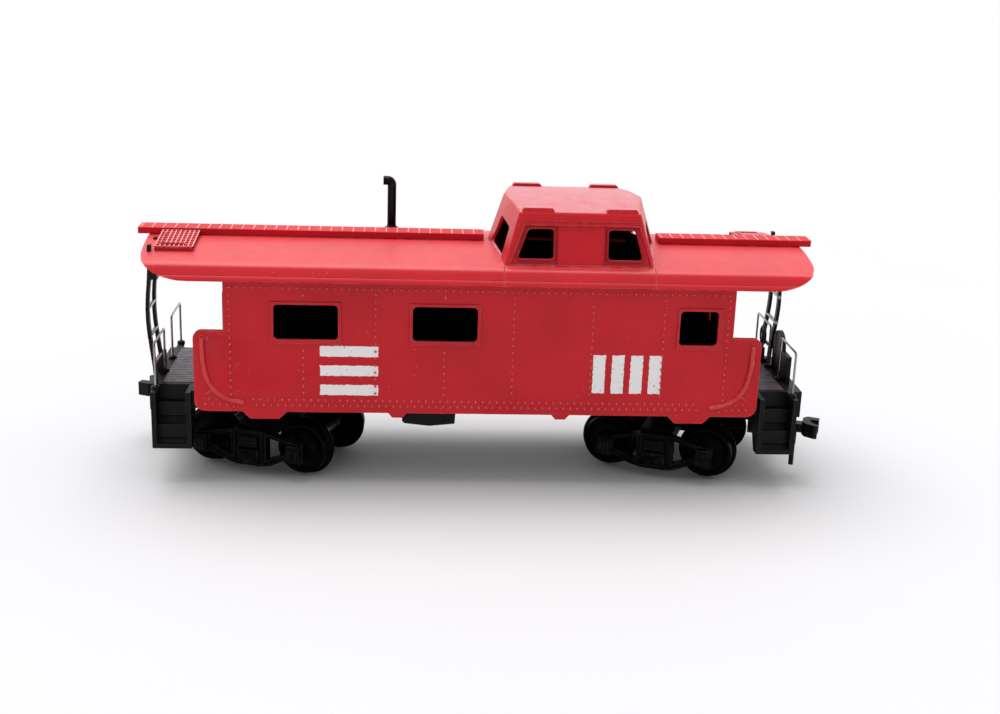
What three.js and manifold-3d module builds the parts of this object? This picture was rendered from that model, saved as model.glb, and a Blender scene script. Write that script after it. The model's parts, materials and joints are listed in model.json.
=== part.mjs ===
// HO scale model caboose: a red moulded body with an offset cupola on a black underframe, and two
// swivelling trucks that carry the wheelsets and the couplers.
// Millimetres. +X runs along the car towards the brake wheel end, +Y to its far side, +Z up.
// The origin is at the middle of the car, on the surface that the wheel flanges stand on.
import * as THREE from "three";
import { ConvexGeometry } from "three/addons/geometries/ConvexGeometry.js";
import { mergeVertices } from "three/addons/utils/BufferGeometryUtils.js";
import Module from "manifold-3d";

// ---------------------------------------------------------------- driving dimensions
const SKIN = 1.1; // moulded wall thickness
const FIT = 0.05; // gap between two fixed pieces
const RUN = 0.06; // radial gap of a turning fit

const BODY = { halfLength: 46.75, halfWidth: 17.0, bottom: 14.5, wallTop: 40.6 };
// the low wings of the sides beyond the end walls; the far side's are a little shorter
const WING = { reach: 52.3, farReach: 51.3, top: 29.8, topRadius: 1.5, bottomRadius: 1.9 };
const WINDOW = { bottom: 28.35, top: 35.0, radius: 0.8 };
const WINDOW_FRAME = { bottom: 27.65, top: 35.45, raised: 0.25 };
// each side window: the opening's ends and its frame's ends, in X
const SIDE_WINDOWS = [
  { opening: [-37.8, -26.1], frame: [-38.3, -25.6] },
  { opening: [-12.6, -0.7], frame: [-13.1, -0.2] },
  { opening: [36.6, 43.8], frame: [36.2, 44.6] },
];
// the moulded grab iron at each lower corner of the sides: its centre line in X and Z
const GRAB = { radius: 0.45, sides: 8, steps: 12 };
const GRAB_LINE = [
  [50.7, 28.5],
  [50.65, 24.0],
  [49.6, 19.9],
  [47.2, 17.3],
  [43.2, 16.2],
];
const GRAB_STRUT = [
  [48.9, 18.7],
  [50.3, 17.7],
];
const SIDE_TABS = [
  { from: 35.5, to: 43.6, drop: 1.4, slope: 1.4 },
  { from: 13.5, to: 16.9, drop: 0.9, slope: 0.8 },
];
const DOOR = {
  halfWidth: 3.6,
  top: 37.6,
  trim: 0.6,
  raised: 0.35,
  windowBottom: 28.5,
  windowTop: 35.2,
  windowHalf: 2.1,
};

const ROOF = {
  halfLength: 62.0,
  halfWidth: 18.9,
  eave: 39.4,
  crown: 44.3,
  shoulder: 42.5, // height and Y of the edge between the arched top and the slope down to the eave band
  shoulderY: 16.2,
  bandTop: 41.0,
  endX: 61.2, // where the eave band ends, short of the bowed middle of each end
  sweep: 16.4, // outside this Y the eave band is swept up at each end by a quarter ellipse
  sweepX: 8.6,
  sweepZ: 4.4,
};
const WALK = { end: 64.1, halfWidth: 2.3, top: 45.65, leftStop: 0.7, rightStop: 34.4 };
const GRID = {
  length: 6.9,
  inner: 2.6,
  outer: 12.0,
  innerTop: 45.3,
  outerTop: 44.2,
  leftEnd: -59.4,
  rightEnd: 58.2,
};
const STACK = { x: -16.9, y: 7.0, radius: 0.85, top: 53.7, flange: 1.5, hood: 1.5 };

const CUPOLA = {
  centre: 17.55,
  bottomHalfLength: 13.95,
  bottomHalfWidth: 16.0,
  bottomProw: 16.8, // half length at the centre line
  topHalfLength: 11.05,
  topHalfWidth: 13.9,
  topProw: 13.1,
  bottom: 42.3,
  eave: 52.3,
  crown: 53.2,
  // corners of the two side windows, [x from the cupola's centre, z]
  sideWindows: [
    [[-11.3, 43.9], [-4.8, 43.9], [-4.75, 49.2], [-9.4, 49.2]],
    [[5.3, 43.9], [11.6, 43.9], [10.2, 49.2], [5.3, 49.2]],
  ],
  // corners of an end window, [y, z]
  endWindow: [[-2.9, 44.6], [-3.8, 49.7], [-11.0, 48.7], [-11.8, 43.9]],
  windowCorner: 0.7,
  // the raised strips along the roof's edges, [from, to] in X from the cupola's centre
  bars: [[-10.6, -4.8], [4.8, 10.6]],
  barWidth: 1.5,
  // the sunk panel that holds the side windows, and its corners
  panelDepth: 0.3,
  panel: [[-12.7, 43.0], [-10.1, 49.9], [10.9, 49.9], [13.3, 43.0]],
};

const DECK = { top: 18.0, thick: 1.6, halfWidth: 11.2, end: 60.2 };
const FLOOR = { bottom: 14.6, top: 16.4 };
// the end beams; the brake end's reaches further out
const BEAM = { plainEnd: 61.3, brakeEnd: 62.3, halfWidth: 12.0, bottom: 12.9 };
const STEPS = { inner: 53.0, plate: 0.85, boardThick: 0.8 };
// side view of a step plate, [distance from the centre line, Z]
const STEP_PLATE = [
  [17.1, 18.0],
  [17.1, 7.1],
  [14.7, 7.1],
  [11.4, 12.6],
  [10.8, 16.4],
  [10.8, 18.0],
];
// side view of the plate that closes a step well from behind
const STEP_BACK = [
  [11.3, 16.5],
  [11.9, 12.6],
  [15.2, 7.1],
  [15.8, 7.1],
  [12.5, 12.6],
  [11.9, 16.5],
];
// each step board: its outer face in Y, its lowest and its highest Z
const STEP_BOARDS = [
  [12.0, 15.4, 18.0],
  [13.7, 12.5, 15.0],
  [15.4, 8.7, 11.2],
  [17.1, 7.1, 7.9],
];
const RAIL = { x: 59.6, outer: 14.8, inner: 4.3, top: 26.6, radius: 0.22, socket: 1.2 };
const LADDER = {
  outer: 12.0,
  inner: 5.4,
  thickX: 0.65,
  thickY: 1.1,
  rungRadius: 0.3,
  bracket: [38.0, 39.2],
  notchX: 59.6,
  slack: 0.2,
};
// the ladder's side view: distance from the car's middle against height
const LADDER_BOW = [
  [59.9, 18.05],
  [60.15, 22.0],
  [60.7, 26.5],
  [61.0, 30.5],
  [60.9, 34.5],
  [60.5, 38.6],
  [60.3, 44.4],
];
const RUNGS = [22.0, 27.2, 32.4, 37.6];

const TRUCK = {
  centre: 38.8,
  restYaw: 20.5, // both trucks stand turned clockwise, seen from above
  wheelbase: 19.3,
  boss: 3.5,
  bossBottom: 10.1,
};
const WHEEL = { flange: 5.65, tread: 4.9, back: 7.15, flangeThick: 0.8, face: 10.0, axle: 0.75 };
const FRAME = { inner: 10.8, outer: 12.6, box: 13.9, journal: 12.45 };
const JOURNAL_BOX = { half: 1.4, bottom: 4.0, top: 7.3 };
const SPRINGS = { half: 2.2, bottom: 2.9, top: 5.2, proud: 0.5 };
// half of a side frame's outline and one of its openings, in X and Z
const FRAME_OUTLINE = [
  [2.6, 2.2],
  [4.6, 2.7],
  [8.15, 4.4],
  [11.05, 4.1],
  [11.05, 7.3],
  [8.65, 7.6],
  [3.0, 8.9],
];
const FRAME_OPENING = [
  [3.6, 3.35],
  [3.6, 8.1],
  [8.15, 7.05],
  [8.15, 5.2],
];
const BOLSTER = { half: 3.1, bottom: 6.6, top: 9.4, pad: 3.0 };
const ARM = { halfWidth: 2.7, bottom: 10.95, top: 11.75, pocket: 9.0, wall: 0.7 };
const RISER = { from: 2.6, to: 5.6, bottom: 8.4 };
// the coupler's pocket runs this far to either side of its pivot
const POCKET = { back: 3.2, front: 3.4, lid: 0.6 };
const COUPLER = {
  pivot: 20.3,
  height: 10.0,
  thick: 1.7,
  post: 1.0,
  ring: 1.75,
  shankEnd: 7.2,
  shank: 1.1,
  headBottom: 8.9,
  headTop: 11.6,
};
// plan of the horn-hook head, from the pivot
const COUPLER_HEAD = [
  [6.4, -1.1],
  [7.0, -2.4],
  [8.9, -3.3],
  [9.5, -3.1],
  [9.5, -2.4],
  [8.3, -1.5],
  [7.9, -0.5],
  [7.9, 0.3],
  [9.5, 0.3],
  [9.5, 1.9],
  [7.2, 2.1],
  [6.4, 1.1],
];
const WHISKER = { from: -2.9, half: 0.25 };
const TRIP_PIN = { x: 4.9, bottom: 2.0, thin: 0.5, thick: 0.6, step: 6.5 };
const PIN = { shank: 0.9, head: 1.9, headThick: 0.8, top: 15.6 };
const SILL = { bottom: 12.6, halfWidth: 2.5 };
// the tank under the floor: side view in X and Z, and how far it runs in Y
const TANK = {
  y: [-9.0, -2.0],
  outline: [
    [-14.3, 14.8],
    [-14.3, 10.1],
    [-13.8, 9.7],
    [-9.1, 9.2],
    [-4.2, 9.7],
    [-3.9, 14.8],
  ],
};
const CYLINDER = { from: 1.2, to: 6.4, y: -6.5, z: 12.2, radius: 1.3 };
const HANGER = { from: 2.4, to: 5.2, half: 0.7 };
const TOE_BOARD = { x: [60.4, 61.2], y: [-2.4, 4.4], top: 20.4 };
const WEIGHT = { halfLength: 30, halfWidth: 9, thick: 2.0 };
const BRAKE = {
  x: 59.4,
  y: 9.0,
  top: 20.9,
  width: 1.8,
  depth: 0.9,
  height: 23.4,
  radius: 2.1,
  rim: 0.45,
  thick: 0.28,
};
const GATE = { x: 60.75, thick: 0.8, from: -2.5, to: 4.4, top: 26.6, wingFrom: -7.0, wingTop: 23.4 };

// ---------------------------------------------------------------- solids
const wasm = await Module();
wasm.setup();

function solid(geometry) {
  const bare = geometry.index ? geometry.toNonIndexed() : geometry.clone();
  bare.deleteAttribute("normal");
  bare.deleteAttribute("uv");
  const merged = mergeVertices(bare, 1e-4);
  return new wasm.Manifold(
    new wasm.Mesh({
      numProp: 3,
      vertProperties: merged.attributes.position.array,
      triVerts: new Uint32Array(merged.index.array),
    }),
  );
}

function geometryOf(manifold) {
  const mesh = manifold.getMesh();
  const geometry = new THREE.BufferGeometry();
  geometry.setAttribute("position", new THREE.BufferAttribute(mesh.vertProperties, 3));
  geometry.setIndex(new THREE.BufferAttribute(mesh.triVerts, 1));
  geometry.computeVertexNormals();
  return geometry;
}

const join = (pieces) => pieces.reduce((sum, piece) => sum.add(piece));
const cut = (base, tools) => tools.reduce((rest, tool) => rest.subtract(tool), base);

function box(x0, x1, y0, y1, z0, z1) {
  const geometry = new THREE.BoxGeometry(x1 - x0, y1 - y0, z1 - z0);
  return solid(geometry.translate((x0 + x1) / 2, (y0 + y1) / 2, (z0 + z1) / 2));
}

// A shape drawn in X and Z, running along Y from y0 to y1.
function prismY(shape, y0, y1, curveSegments = 6) {
  const geometry = extrude(shape, y1 - y0, curveSegments);
  geometry.applyMatrix4(
    new THREE.Matrix4().makeBasis(
      new THREE.Vector3(1, 0, 0),
      new THREE.Vector3(0, 0, 1),
      new THREE.Vector3(0, -1, 0),
    ),
  );
  return solid(geometry.translate(0, y1, 0));
}

// A shape drawn in Y and Z, running along X from x0 to x1.
function prismX(shape, x0, x1, curveSegments = 6) {
  const geometry = extrude(shape, x1 - x0, curveSegments);
  geometry.applyMatrix4(
    new THREE.Matrix4().makeBasis(
      new THREE.Vector3(0, 1, 0),
      new THREE.Vector3(0, 0, 1),
      new THREE.Vector3(1, 0, 0),
    ),
  );
  return solid(geometry.translate(x0, 0, 0));
}

// A shape drawn in X and Y, running up from z0 to z1.
function prismZ(shape, z0, z1, curveSegments = 6) {
  return solid(extrude(shape, z1 - z0, curveSegments).translate(0, 0, z0));
}

function extrude(shape, depth, curveSegments) {
  return new THREE.ExtrudeGeometry(shape, { depth, bevelEnabled: false, curveSegments });
}

function polygon(points) {
  return new THREE.Shape(points.map(([a, b]) => new THREE.Vector2(a, b)));
}

// A polygon whose corners are rounded off, r along each edge.
function softPolygon(points, r) {
  const corners = points.map(([a, b]) => new THREE.Vector2(a, b));
  const shape = new THREE.Shape();
  corners.forEach((corner, i) => {
    const towards = (other) => other.clone().sub(corner).setLength(r).add(corner);
    const start = towards(corners.at(i - 1));
    const end = towards(corners[(i + 1) % corners.length]);
    if (i === 0) shape.moveTo(start.x, start.y);
    else shape.lineTo(start.x, start.y);
    shape.quadraticCurveTo(corner.x, corner.y, end.x, end.y);
  });
  shape.closePath();
  return shape;
}

function roundedRect(a0, a1, b0, b1, r) {
  const shape = new THREE.Shape();
  shape.absarc(a1 - r, b1 - r, r, 0, Math.PI / 2);
  shape.absarc(a0 + r, b1 - r, r, Math.PI / 2, Math.PI);
  shape.absarc(a0 + r, b0 + r, r, Math.PI, 1.5 * Math.PI);
  shape.absarc(a1 - r, b0 + r, r, 1.5 * Math.PI, 2 * Math.PI);
  return shape;
}

function rod(from, to, radius, sides = 10) {
  const a = new THREE.Vector3(...from);
  const b = new THREE.Vector3(...to);
  const geometry = new THREE.CylinderGeometry(radius, radius, a.distanceTo(b), sides);
  const turn = new THREE.Quaternion().setFromUnitVectors(
    new THREE.Vector3(0, 1, 0),
    b.clone().sub(a).normalize(),
  );
  geometry.applyQuaternion(turn);
  return solid(geometry.translate(...a.add(b).multiplyScalar(0.5).toArray()));
}

// A closed profile of [radius, y] points turned about the Y axis.
function lathe(profile, sides) {
  const points = profile.map(([r, y]) => new THREE.Vector2(r, y));
  return new THREE.LatheGeometry(points, sides);
}

// A round bar bent along a line of points.
function bent(points, radius, sides, steps) {
  const path = new THREE.CatmullRomCurve3(points.map((p) => new THREE.Vector3(...p)));
  const section = new THREE.Shape().absarc(0, 0, radius, 0, 2 * Math.PI);
  return solid(
    new THREE.ExtrudeGeometry(section, {
      steps,
      extrudePath: path,
      bevelEnabled: false,
      curveSegments: sides,
    }),
  );
}

// A copy with X and Y multiplied by 1 or -1: seen in a mirror, or turned half round.
function flipped(manifold, signX, signY) {
  const geometry = geometryOf(manifold).scale(signX, signY, 1);
  if (signX * signY < 0) geometry.setIndex([...geometry.index.array].reverse());
  return solid(geometry);
}

const mirrorX = (manifold) => flipped(manifold, -1, 1);
const mirrorY = (manifold) => flipped(manifold, 1, -1);
const halfTurn = (manifold) => flipped(manifold, -1, -1);
const bothY = (manifold) => manifold.add(mirrorY(manifold));
const bothX = (manifold) => manifold.add(mirrorX(manifold));

// ---------------------------------------------------------------- roof curve
// Height of the roof's outer surface at a distance y from the centre line.
function roofHeight(y) {
  const t = y / ROOF.shoulderY;
  return ROOF.crown - (ROOF.crown - ROOF.shoulder) * t * t;
}

// Points along the roof's outer surface from -y to y, raised by lift.
function roofLine(y, lift, steps = 10) {
  const points = [];
  for (let i = 0; i <= steps; i++) {
    const at = y * ((2 * i) / steps - 1);
    points.push([at, roofHeight(at) + lift]);
  }
  return points;
}

// The roof's cross-section as an arch from eave to eave, moved inwards by inset.
function roofArch(inset, bottom) {
  const half = ROOF.halfWidth - inset;
  const band = ROOF.bandTop - 0.7 * inset;
  const top = roofLine(ROOF.shoulderY - 0.8 * inset, -inset);
  return [[-half, bottom], [-half, band], ...top, [half, band], [half, bottom]];
}

// Everything under the roof's arched top raised by lift.
function underRoof(lift, x0, x1) {
  const line = roofLine(ROOF.halfWidth, lift);
  return prismX(polygon([...line, [ROOF.halfWidth, 0], [-ROOF.halfWidth, 0]]), x0, x1);
}

// ---------------------------------------------------------------- body shell
function tabPoints(sign) {
  const points = [];
  for (const { from, to, drop, slope } of SIDE_TABS)
    points.push(
      [sign * to, BODY.bottom],
      [sign * (to - slope), BODY.bottom - drop],
      [sign * (from + slope), BODY.bottom - drop],
      [sign * from, BODY.bottom],
    );
  return points;
}

function sideOutline(reach) {
  const s = new THREE.Shape();
  const { halfLength, bottom, wallTop } = BODY;
  const { top, topRadius: rt, bottomRadius: rb } = WING;
  s.moveTo(-halfLength, wallTop);
  s.lineTo(-halfLength, top);
  s.absarc(-reach + rt, top - rt, rt, Math.PI / 2, Math.PI);
  s.absarc(-reach + rb, bottom + rb, rb, Math.PI, 1.5 * Math.PI);
  for (const [x, z] of [...tabPoints(-1), ...tabPoints(1).reverse()]) s.lineTo(x, z);
  s.absarc(reach - rb, bottom + rb, rb, 1.5 * Math.PI, 2 * Math.PI);
  s.absarc(reach - rt, top - rt, rt, 0, Math.PI / 2);
  s.lineTo(halfLength, top);
  s.lineTo(halfLength, wallTop);
  return s;
}

// The moulded grab iron of one lower corner, on the near side.
function grabIron(sign) {
  const at = ([x, z]) => [sign * x, -BODY.halfWidth, z];
  return bent(GRAB_LINE.map(at), GRAB.radius, GRAB.sides, GRAB.steps).add(
    rod(at(GRAB_STRUT[0]), at(GRAB_STRUT[1]), GRAB.radius * 0.7, 6),
  );
}

// A side, placed as the near one: the wall with its wings and tabs, window frames and grab irons.
function bodySide(reach) {
  const y = -BODY.halfWidth;
  const { bottom, top, raised } = WINDOW_FRAME;
  const frames = SIDE_WINDOWS.map(({ frame: [from, to] }) =>
    box(from, to, y - raised, y + 0.5, bottom, top),
  );
  const openings = SIDE_WINDOWS.map(({ opening: [from, to] }) =>
    prismY(roundedRect(from, to, WINDOW.bottom, WINDOW.top, WINDOW.radius), y - 2, y + 2, 3),
  );
  const wall = prismY(sideOutline(reach), y, y + SKIN, 4);
  return cut(join([wall, ...frames, grabIron(-1), grabIron(1)]), openings);
}

function bodyShell() {
  const { halfLength, halfWidth } = BODY;
  const { halfWidth: doorHalf, windowHalf, windowBottom, windowTop, top, trim, raised } = DOOR;
  const floor = DECK.top + FIT;
  const edge = halfWidth - SKIN + 0.1;
  const wall = box(halfLength - SKIN, halfLength, -edge, edge, floor, ROOF.crown);
  const surround = cut(
    box(halfLength - 0.5, halfLength + raised, -doorHalf, doorHalf, floor, top),
    [box(halfLength, halfLength + 1, -doorHalf + trim, doorHalf - trim, floor - 1, top - trim)],
  );
  const window = prismX(
    roundedRect(-windowHalf, windowHalf, windowBottom, windowTop, WINDOW.radius),
    halfLength - 5,
    halfLength + 5,
    3,
  );
  const underCeiling = prismX(polygon(roofArch(SKIN + FIT, 0)), halfLength - 5, halfLength + 5);
  const end = cut(wall.add(surround), [window]).intersect(underCeiling);
  return join([bodySide(WING.reach), mirrorY(bodySide(WING.farReach)), bothX(end)]);
}

// ---------------------------------------------------------------- roof and what stands on it
// The roof's plan, its ends bowed out towards the middle.
function roofPlan() {
  const { halfLength, halfWidth, endX } = ROOF;
  const bow = 2 * halfLength - endX;
  const s = new THREE.Shape();
  s.moveTo(-endX, -halfWidth);
  s.lineTo(endX, -halfWidth);
  s.quadraticCurveTo(bow, 0, endX, halfWidth);
  s.lineTo(-endX, halfWidth);
  s.quadraticCurveTo(-bow, 0, -endX, -halfWidth);
  return prismZ(s, ROOF.eave - 1, ROOF.crown + 1, 8);
}

function roofShell() {
  const { halfLength, eave, endX, sweep, sweepX: sx, sweepZ: sz } = ROOF;
  const arch = prismX(polygon(roofArch(0, eave)), -halfLength, halfLength);
  const hollow = prismX(polygon(roofArch(SKIN, eave - 1)), -halfLength - 1, halfLength + 1);
  const corner = new THREE.Shape();
  corner.moveTo(halfLength + 1, eave - 1);
  corner.lineTo(endX - sx, eave - 1);
  corner.absellipse(endX - sx, eave + sz, sx, sz, 1.5 * Math.PI, 2 * Math.PI);
  corner.lineTo(halfLength + 1, eave + sz);
  const notches = [LADDER.outer, LADDER.inner].map((y) => {
    const half = LADDER.thickY / 2 + LADDER.slack;
    return box(-halfLength - 1, -LADDER.notchX, -y - half, -y + half, eave, ROOF.crown + 1);
  });
  return cut(arch.intersect(roofPlan()), [
    hollow,
    bothX(bothY(prismY(corner, -ROOF.halfWidth - 1, -sweep, 8))),
    cupolaPlan(-2.2, eave, ROOF.crown + 1),
    ...notches,
    ...notches.map(halfTurn),
  ]);
}

function runningBoard(from, to) {
  const { halfWidth, top } = WALK;
  return box(from, to, -halfWidth, halfWidth, ROOF.crown + FIT, top);
}

// A step platform beside the running board, lying along the roof's slope on the near side.
function roofGrid(from) {
  const { length, inner, outer, innerTop, outerTop } = GRID;
  const foot = roofLine(outer, FIT, 10).filter(([y]) => y < -inner);
  const outline = [...foot, [-inner, roofHeight(inner) + FIT], [-inner, innerTop], [-outer, outerTop]];
  return prismX(polygon(outline), from, from + length);
}

function smokestack() {
  const { x, y, radius, flange, top, hood } = STACK;
  const foot = roofHeight(y - flange) + FIT;
  const pipe = rod([x, y, foot], [x, y, top], radius, 12);
  const collar = rod([x, y, foot], [x, y, foot + 0.7], flange, 12);
  const elbow = rod([x - hood, y, top - 0.35], [x + radius, y, top + 0.1], radius + 0.15, 12);
  return join([pipe, collar, elbow]);
}

// ---------------------------------------------------------------- cupola
// The cupola's plan at its foot, a hexagon whose ends come to a point, grown by inset.
function cupolaPlan(grow, z0, z1) {
  const { centre, bottomHalfLength, bottomProw, bottomHalfWidth } = CUPOLA;
  const w = bottomHalfWidth + grow;
  const plan = [];
  for (const side of [-1, 1]) {
    plan.push([centre + side * (bottomHalfLength + grow), side * w]);
    plan.push([centre + side * (bottomProw + grow), 0]);
    plan.push([centre + side * (bottomHalfLength + grow), -side * w]);
  }
  return prismZ(polygon(plan), z0, z1);
}

// The cupola's outer form shrunk by inset on every side but the foot.
function cupolaForm(inset) {
  const c = CUPOLA;
  const points = [];
  for (const t of [-1, -0.5, 0, 0.5, 1]) {
    const prow = 1 - Math.abs(t);
    const upper = c.topHalfLength + (c.topProw - c.topHalfLength) * prow - inset;
    const lower = c.bottomHalfLength + (c.bottomProw - c.bottomHalfLength) * prow - inset;
    const roof = c.eave + (c.crown - c.eave) * (1 - t * t) - inset;
    for (const side of [-1, 1]) {
      points.push([c.centre + side * upper, t * (c.topHalfWidth - inset), roof]);
      points.push([c.centre + side * lower, t * (c.bottomHalfWidth - inset), c.bottom]);
    }
  }
  return solid(new ConvexGeometry(points.map((p) => new THREE.Vector3(...p))));
}

function cupolaShell() {
  const { centre, sideWindows, endWindow, bars, barWidth, panel, panelDepth } = CUPOLA;
  const { topHalfWidth, eave, windowCorner } = CUPOLA;
  const shifted = (corners) => corners.map(([x, z]) => [centre + x, z]);
  const onSide = (shape) => bothY(prismY(shape, -19, -12, 3));
  const strips = bars.map(([from, to]) => {
    const y = -topHalfWidth + 0.1;
    return bothY(box(centre + from, centre + to, y, y + barWidth, eave - 0.4, eave + 0.75));
  });
  return cut(join([cupolaForm(0), ...strips]), [
    cupolaForm(SKIN),
    onSide(polygon(shifted(panel))).subtract(cupolaForm(panelDepth)),
    ...sideWindows.map((corners) => onSide(softPolygon(shifted(corners), windowCorner))),
    bothY(prismX(softPolygon(endWindow, windowCorner), centre - 18, centre + 18, 3)),
    underRoof(FIT, centre - 20, centre + 20),
  ]);
}

// ---------------------------------------------------------------- underframe
// One step well on the near side of the +X platform: two side plates, a back and the step boards.
function stepWell() {
  const { inner, plate, boardThick } = STEPS;
  const nearSide = (points) => polygon(points.map(([y, z]) => [-y, z]));
  const side = nearSide(STEP_PLATE);
  const pieces = [
    prismX(side, inner, inner + plate),
    prismX(side, DECK.end - plate, DECK.end),
    prismX(nearSide(STEP_BACK), inner + 0.1, DECK.end - 0.1),
  ];
  for (const [y, low, high] of STEP_BOARDS)
    pieces.push(box(inner + 0.1, DECK.end - 0.1, -y, -y + boardThick, low, high));
  return join(pieces);
}

function railSockets() {
  const { x, outer, inner, radius } = RAIL;
  const bosses = [-outer, -inner, inner, outer].map((y) =>
    rod([x, y, DECK.top - 0.5], [x, y, DECK.top + 0.45], 0.6, 8),
  );
  const holes = [-outer, -inner, inner, outer].map((y) =>
    rod([x, y, DECK.top - RAIL.socket], [x, y, DECK.top + 1], radius + 0.04, 8),
  );
  return { bosses: join(bosses), holes: join(holes) };
}

// The +X platform with its steps, rail sockets and end beam.
function platform(beamFace) {
  const { top, thick, halfWidth, end } = DECK;
  const inside = BODY.halfWidth - SKIN - 0.1;
  const sockets = railSockets();
  const pieces = join([
    box(BODY.halfLength - 2.4, STEPS.inner + 0.5, -inside, inside, FLOOR.bottom, top),
    box(STEPS.inner - 0.5, end + 0.1, -halfWidth, halfWidth, top - thick, top),
    box(end, beamFace, -BEAM.halfWidth, BEAM.halfWidth, BEAM.bottom, top),
    bothY(stepWell()),
    sockets.bosses,
  ]);
  return cut(pieces, [sockets.holes]);
}

function underframe() {
  const inside = BODY.halfWidth - SKIN - 0.1;
  const boss = rod(
    [TRUCK.centre, 0, TRUCK.bossBottom],
    [TRUCK.centre, 0, FLOOR.bottom + 0.2],
    TRUCK.boss,
    20,
  );
  const screwHole = rod(
    [TRUCK.centre, 0, TRUCK.bossBottom - 1],
    [TRUCK.centre, 0, FLOOR.top],
    PIN.shank + 0.03,
    16,
  );
  const floor = box(-BODY.halfLength + 2, BODY.halfLength - 2, -inside, inside, FLOOR.bottom, FLOOR.top);
  const joint = FLOOR.bottom + 0.2;
  const sill = box(-TRUCK.centre, TRUCK.centre, -SILL.halfWidth, SILL.halfWidth, SILL.bottom, joint);
  const tank = prismY(polygon(TANK.outline), ...TANK.y);
  const { y, z, radius } = CYLINDER;
  const cylinder = rod([CYLINDER.from, y, z], [CYLINDER.to, y, z], radius, 12);
  const hanger = box(HANGER.from, HANGER.to, y - HANGER.half, y + HANGER.half, z, joint);
  const ends = platform(BEAM.brakeEnd).add(mirrorX(platform(BEAM.plainEnd)));
  return cut(join([ends, bothX(boss), floor, sill, tank, cylinder, hanger, toeBoard()]), [
    bothX(screwHole),
  ]);
}

// The iron weight that lies on the floor, inside the body.
function weightPlate() {
  const { halfLength, halfWidth, thick } = WEIGHT;
  const low = FLOOR.top + FIT;
  return box(-halfLength, halfLength, -halfWidth, halfWidth, low, low + thick);
}

// The low upstand on the plain end's beam.
function toeBoard() {
  const [x0, x1] = TOE_BOARD.x;
  const [y0, y1] = TOE_BOARD.y;
  return box(-x1, -x0, -y1, -y0, DECK.top - 0.2, TOE_BOARD.top);
}

// ---------------------------------------------------------------- ladders, rails, brake
// The ladder at the near corner of the -X end.
function ladder() {
  const { outer, inner, thickX, thickY, rungRadius, bracket } = LADDER;
  const bow = new THREE.SplineCurve(LADDER_BOW.map(([x, z]) => new THREE.Vector2(-x, z)));
  const samples = bow.getPoints(14);
  const outline = [
    ...samples.map((p) => [p.x - thickX / 2, p.y]),
    ...samples.map((p) => [p.x + thickX / 2, p.y]).reverse(),
  ];
  const stiles = [outer, inner].map((y) =>
    prismY(polygon(outline), -y - thickY / 2, -y + thickY / 2),
  );
  const at = (z) => samples.reduce((a, b) => (Math.abs(b.y - z) < Math.abs(a.y - z) ? b : a)).x;
  const rungs = RUNGS.map((z) => rod([at(z), -outer, z], [at(z), -inner, z], rungRadius, 8));
  const [low, high] = bracket;
  const x = at((low + high) / 2);
  const brace = box(x - thickX / 2, x + 1.4, -outer - 0.6, -inner + 0.6, low, high);
  return join([...stiles, ...rungs, brace]);
}

// A wire handrail on the near side of the -X platform.
function handrail() {
  const { x, outer, inner, top, radius, socket } = RAIL;
  const foot = DECK.top - socket + FIT;
  return join([
    rod([-x, -outer, foot], [-x, -outer, top], radius, 8),
    rod([-x, -inner, foot], [-x, -inner, top], radius, 8),
    rod([-x, -outer - radius, top], [-x, -inner + radius, top], radius, 8),
  ]);
}

function brakeStand() {
  const { x, y, top, width, depth } = BRAKE;
  return join([
    box(x - depth / 2, x + depth / 2, y - width / 2, y + width / 2, DECK.top + FIT, top),
    box(x - depth, x + depth, y - width, y + width, DECK.top + FIT, DECK.top + 0.9),
  ]);
}

function brakeWheel() {
  const { x, y, height, radius, rim, thick, top } = BRAKE;
  const ring = rod([x - thick, y, height], [x + thick, y, height], radius, 20).subtract(
    rod([x - 2, y, height], [x + 2, y, height], radius - rim, 20),
  );
  const hub = rod([x - thick, y, height], [x + thick, y, height], 0.7, 10);
  const reach = radius - rim / 2;
  const upright = box(x - 0.2, x + 0.2, y - 0.22, y + 0.22, height - reach, height + reach);
  const level = box(x - 0.2, x + 0.2, y - reach, y + reach, height - 0.22, height + 0.22);
  const staff = box(x - 0.3, x + 0.3, y - 0.35, y + 0.35, top + FIT, height);
  return join([ring, hub, upright, level, staff]);
}

// The arched gate plate with its low side wing, behind the beam of the brake end.
function brakeGate() {
  const { x, thick, from, to, top, wingFrom, wingTop } = GATE;
  const s = new THREE.Shape();
  const r = (to - from) / 2;
  s.moveTo(wingFrom, DECK.top + FIT);
  s.lineTo(to, DECK.top + FIT);
  s.lineTo(to, top - r);
  s.absarc(to - r, top - r, r, 0, Math.PI);
  s.lineTo(from, wingTop);
  s.lineTo(wingFrom, wingTop);
  return prismX(s, x - thick / 2, x + thick / 2, 8);
}

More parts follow.
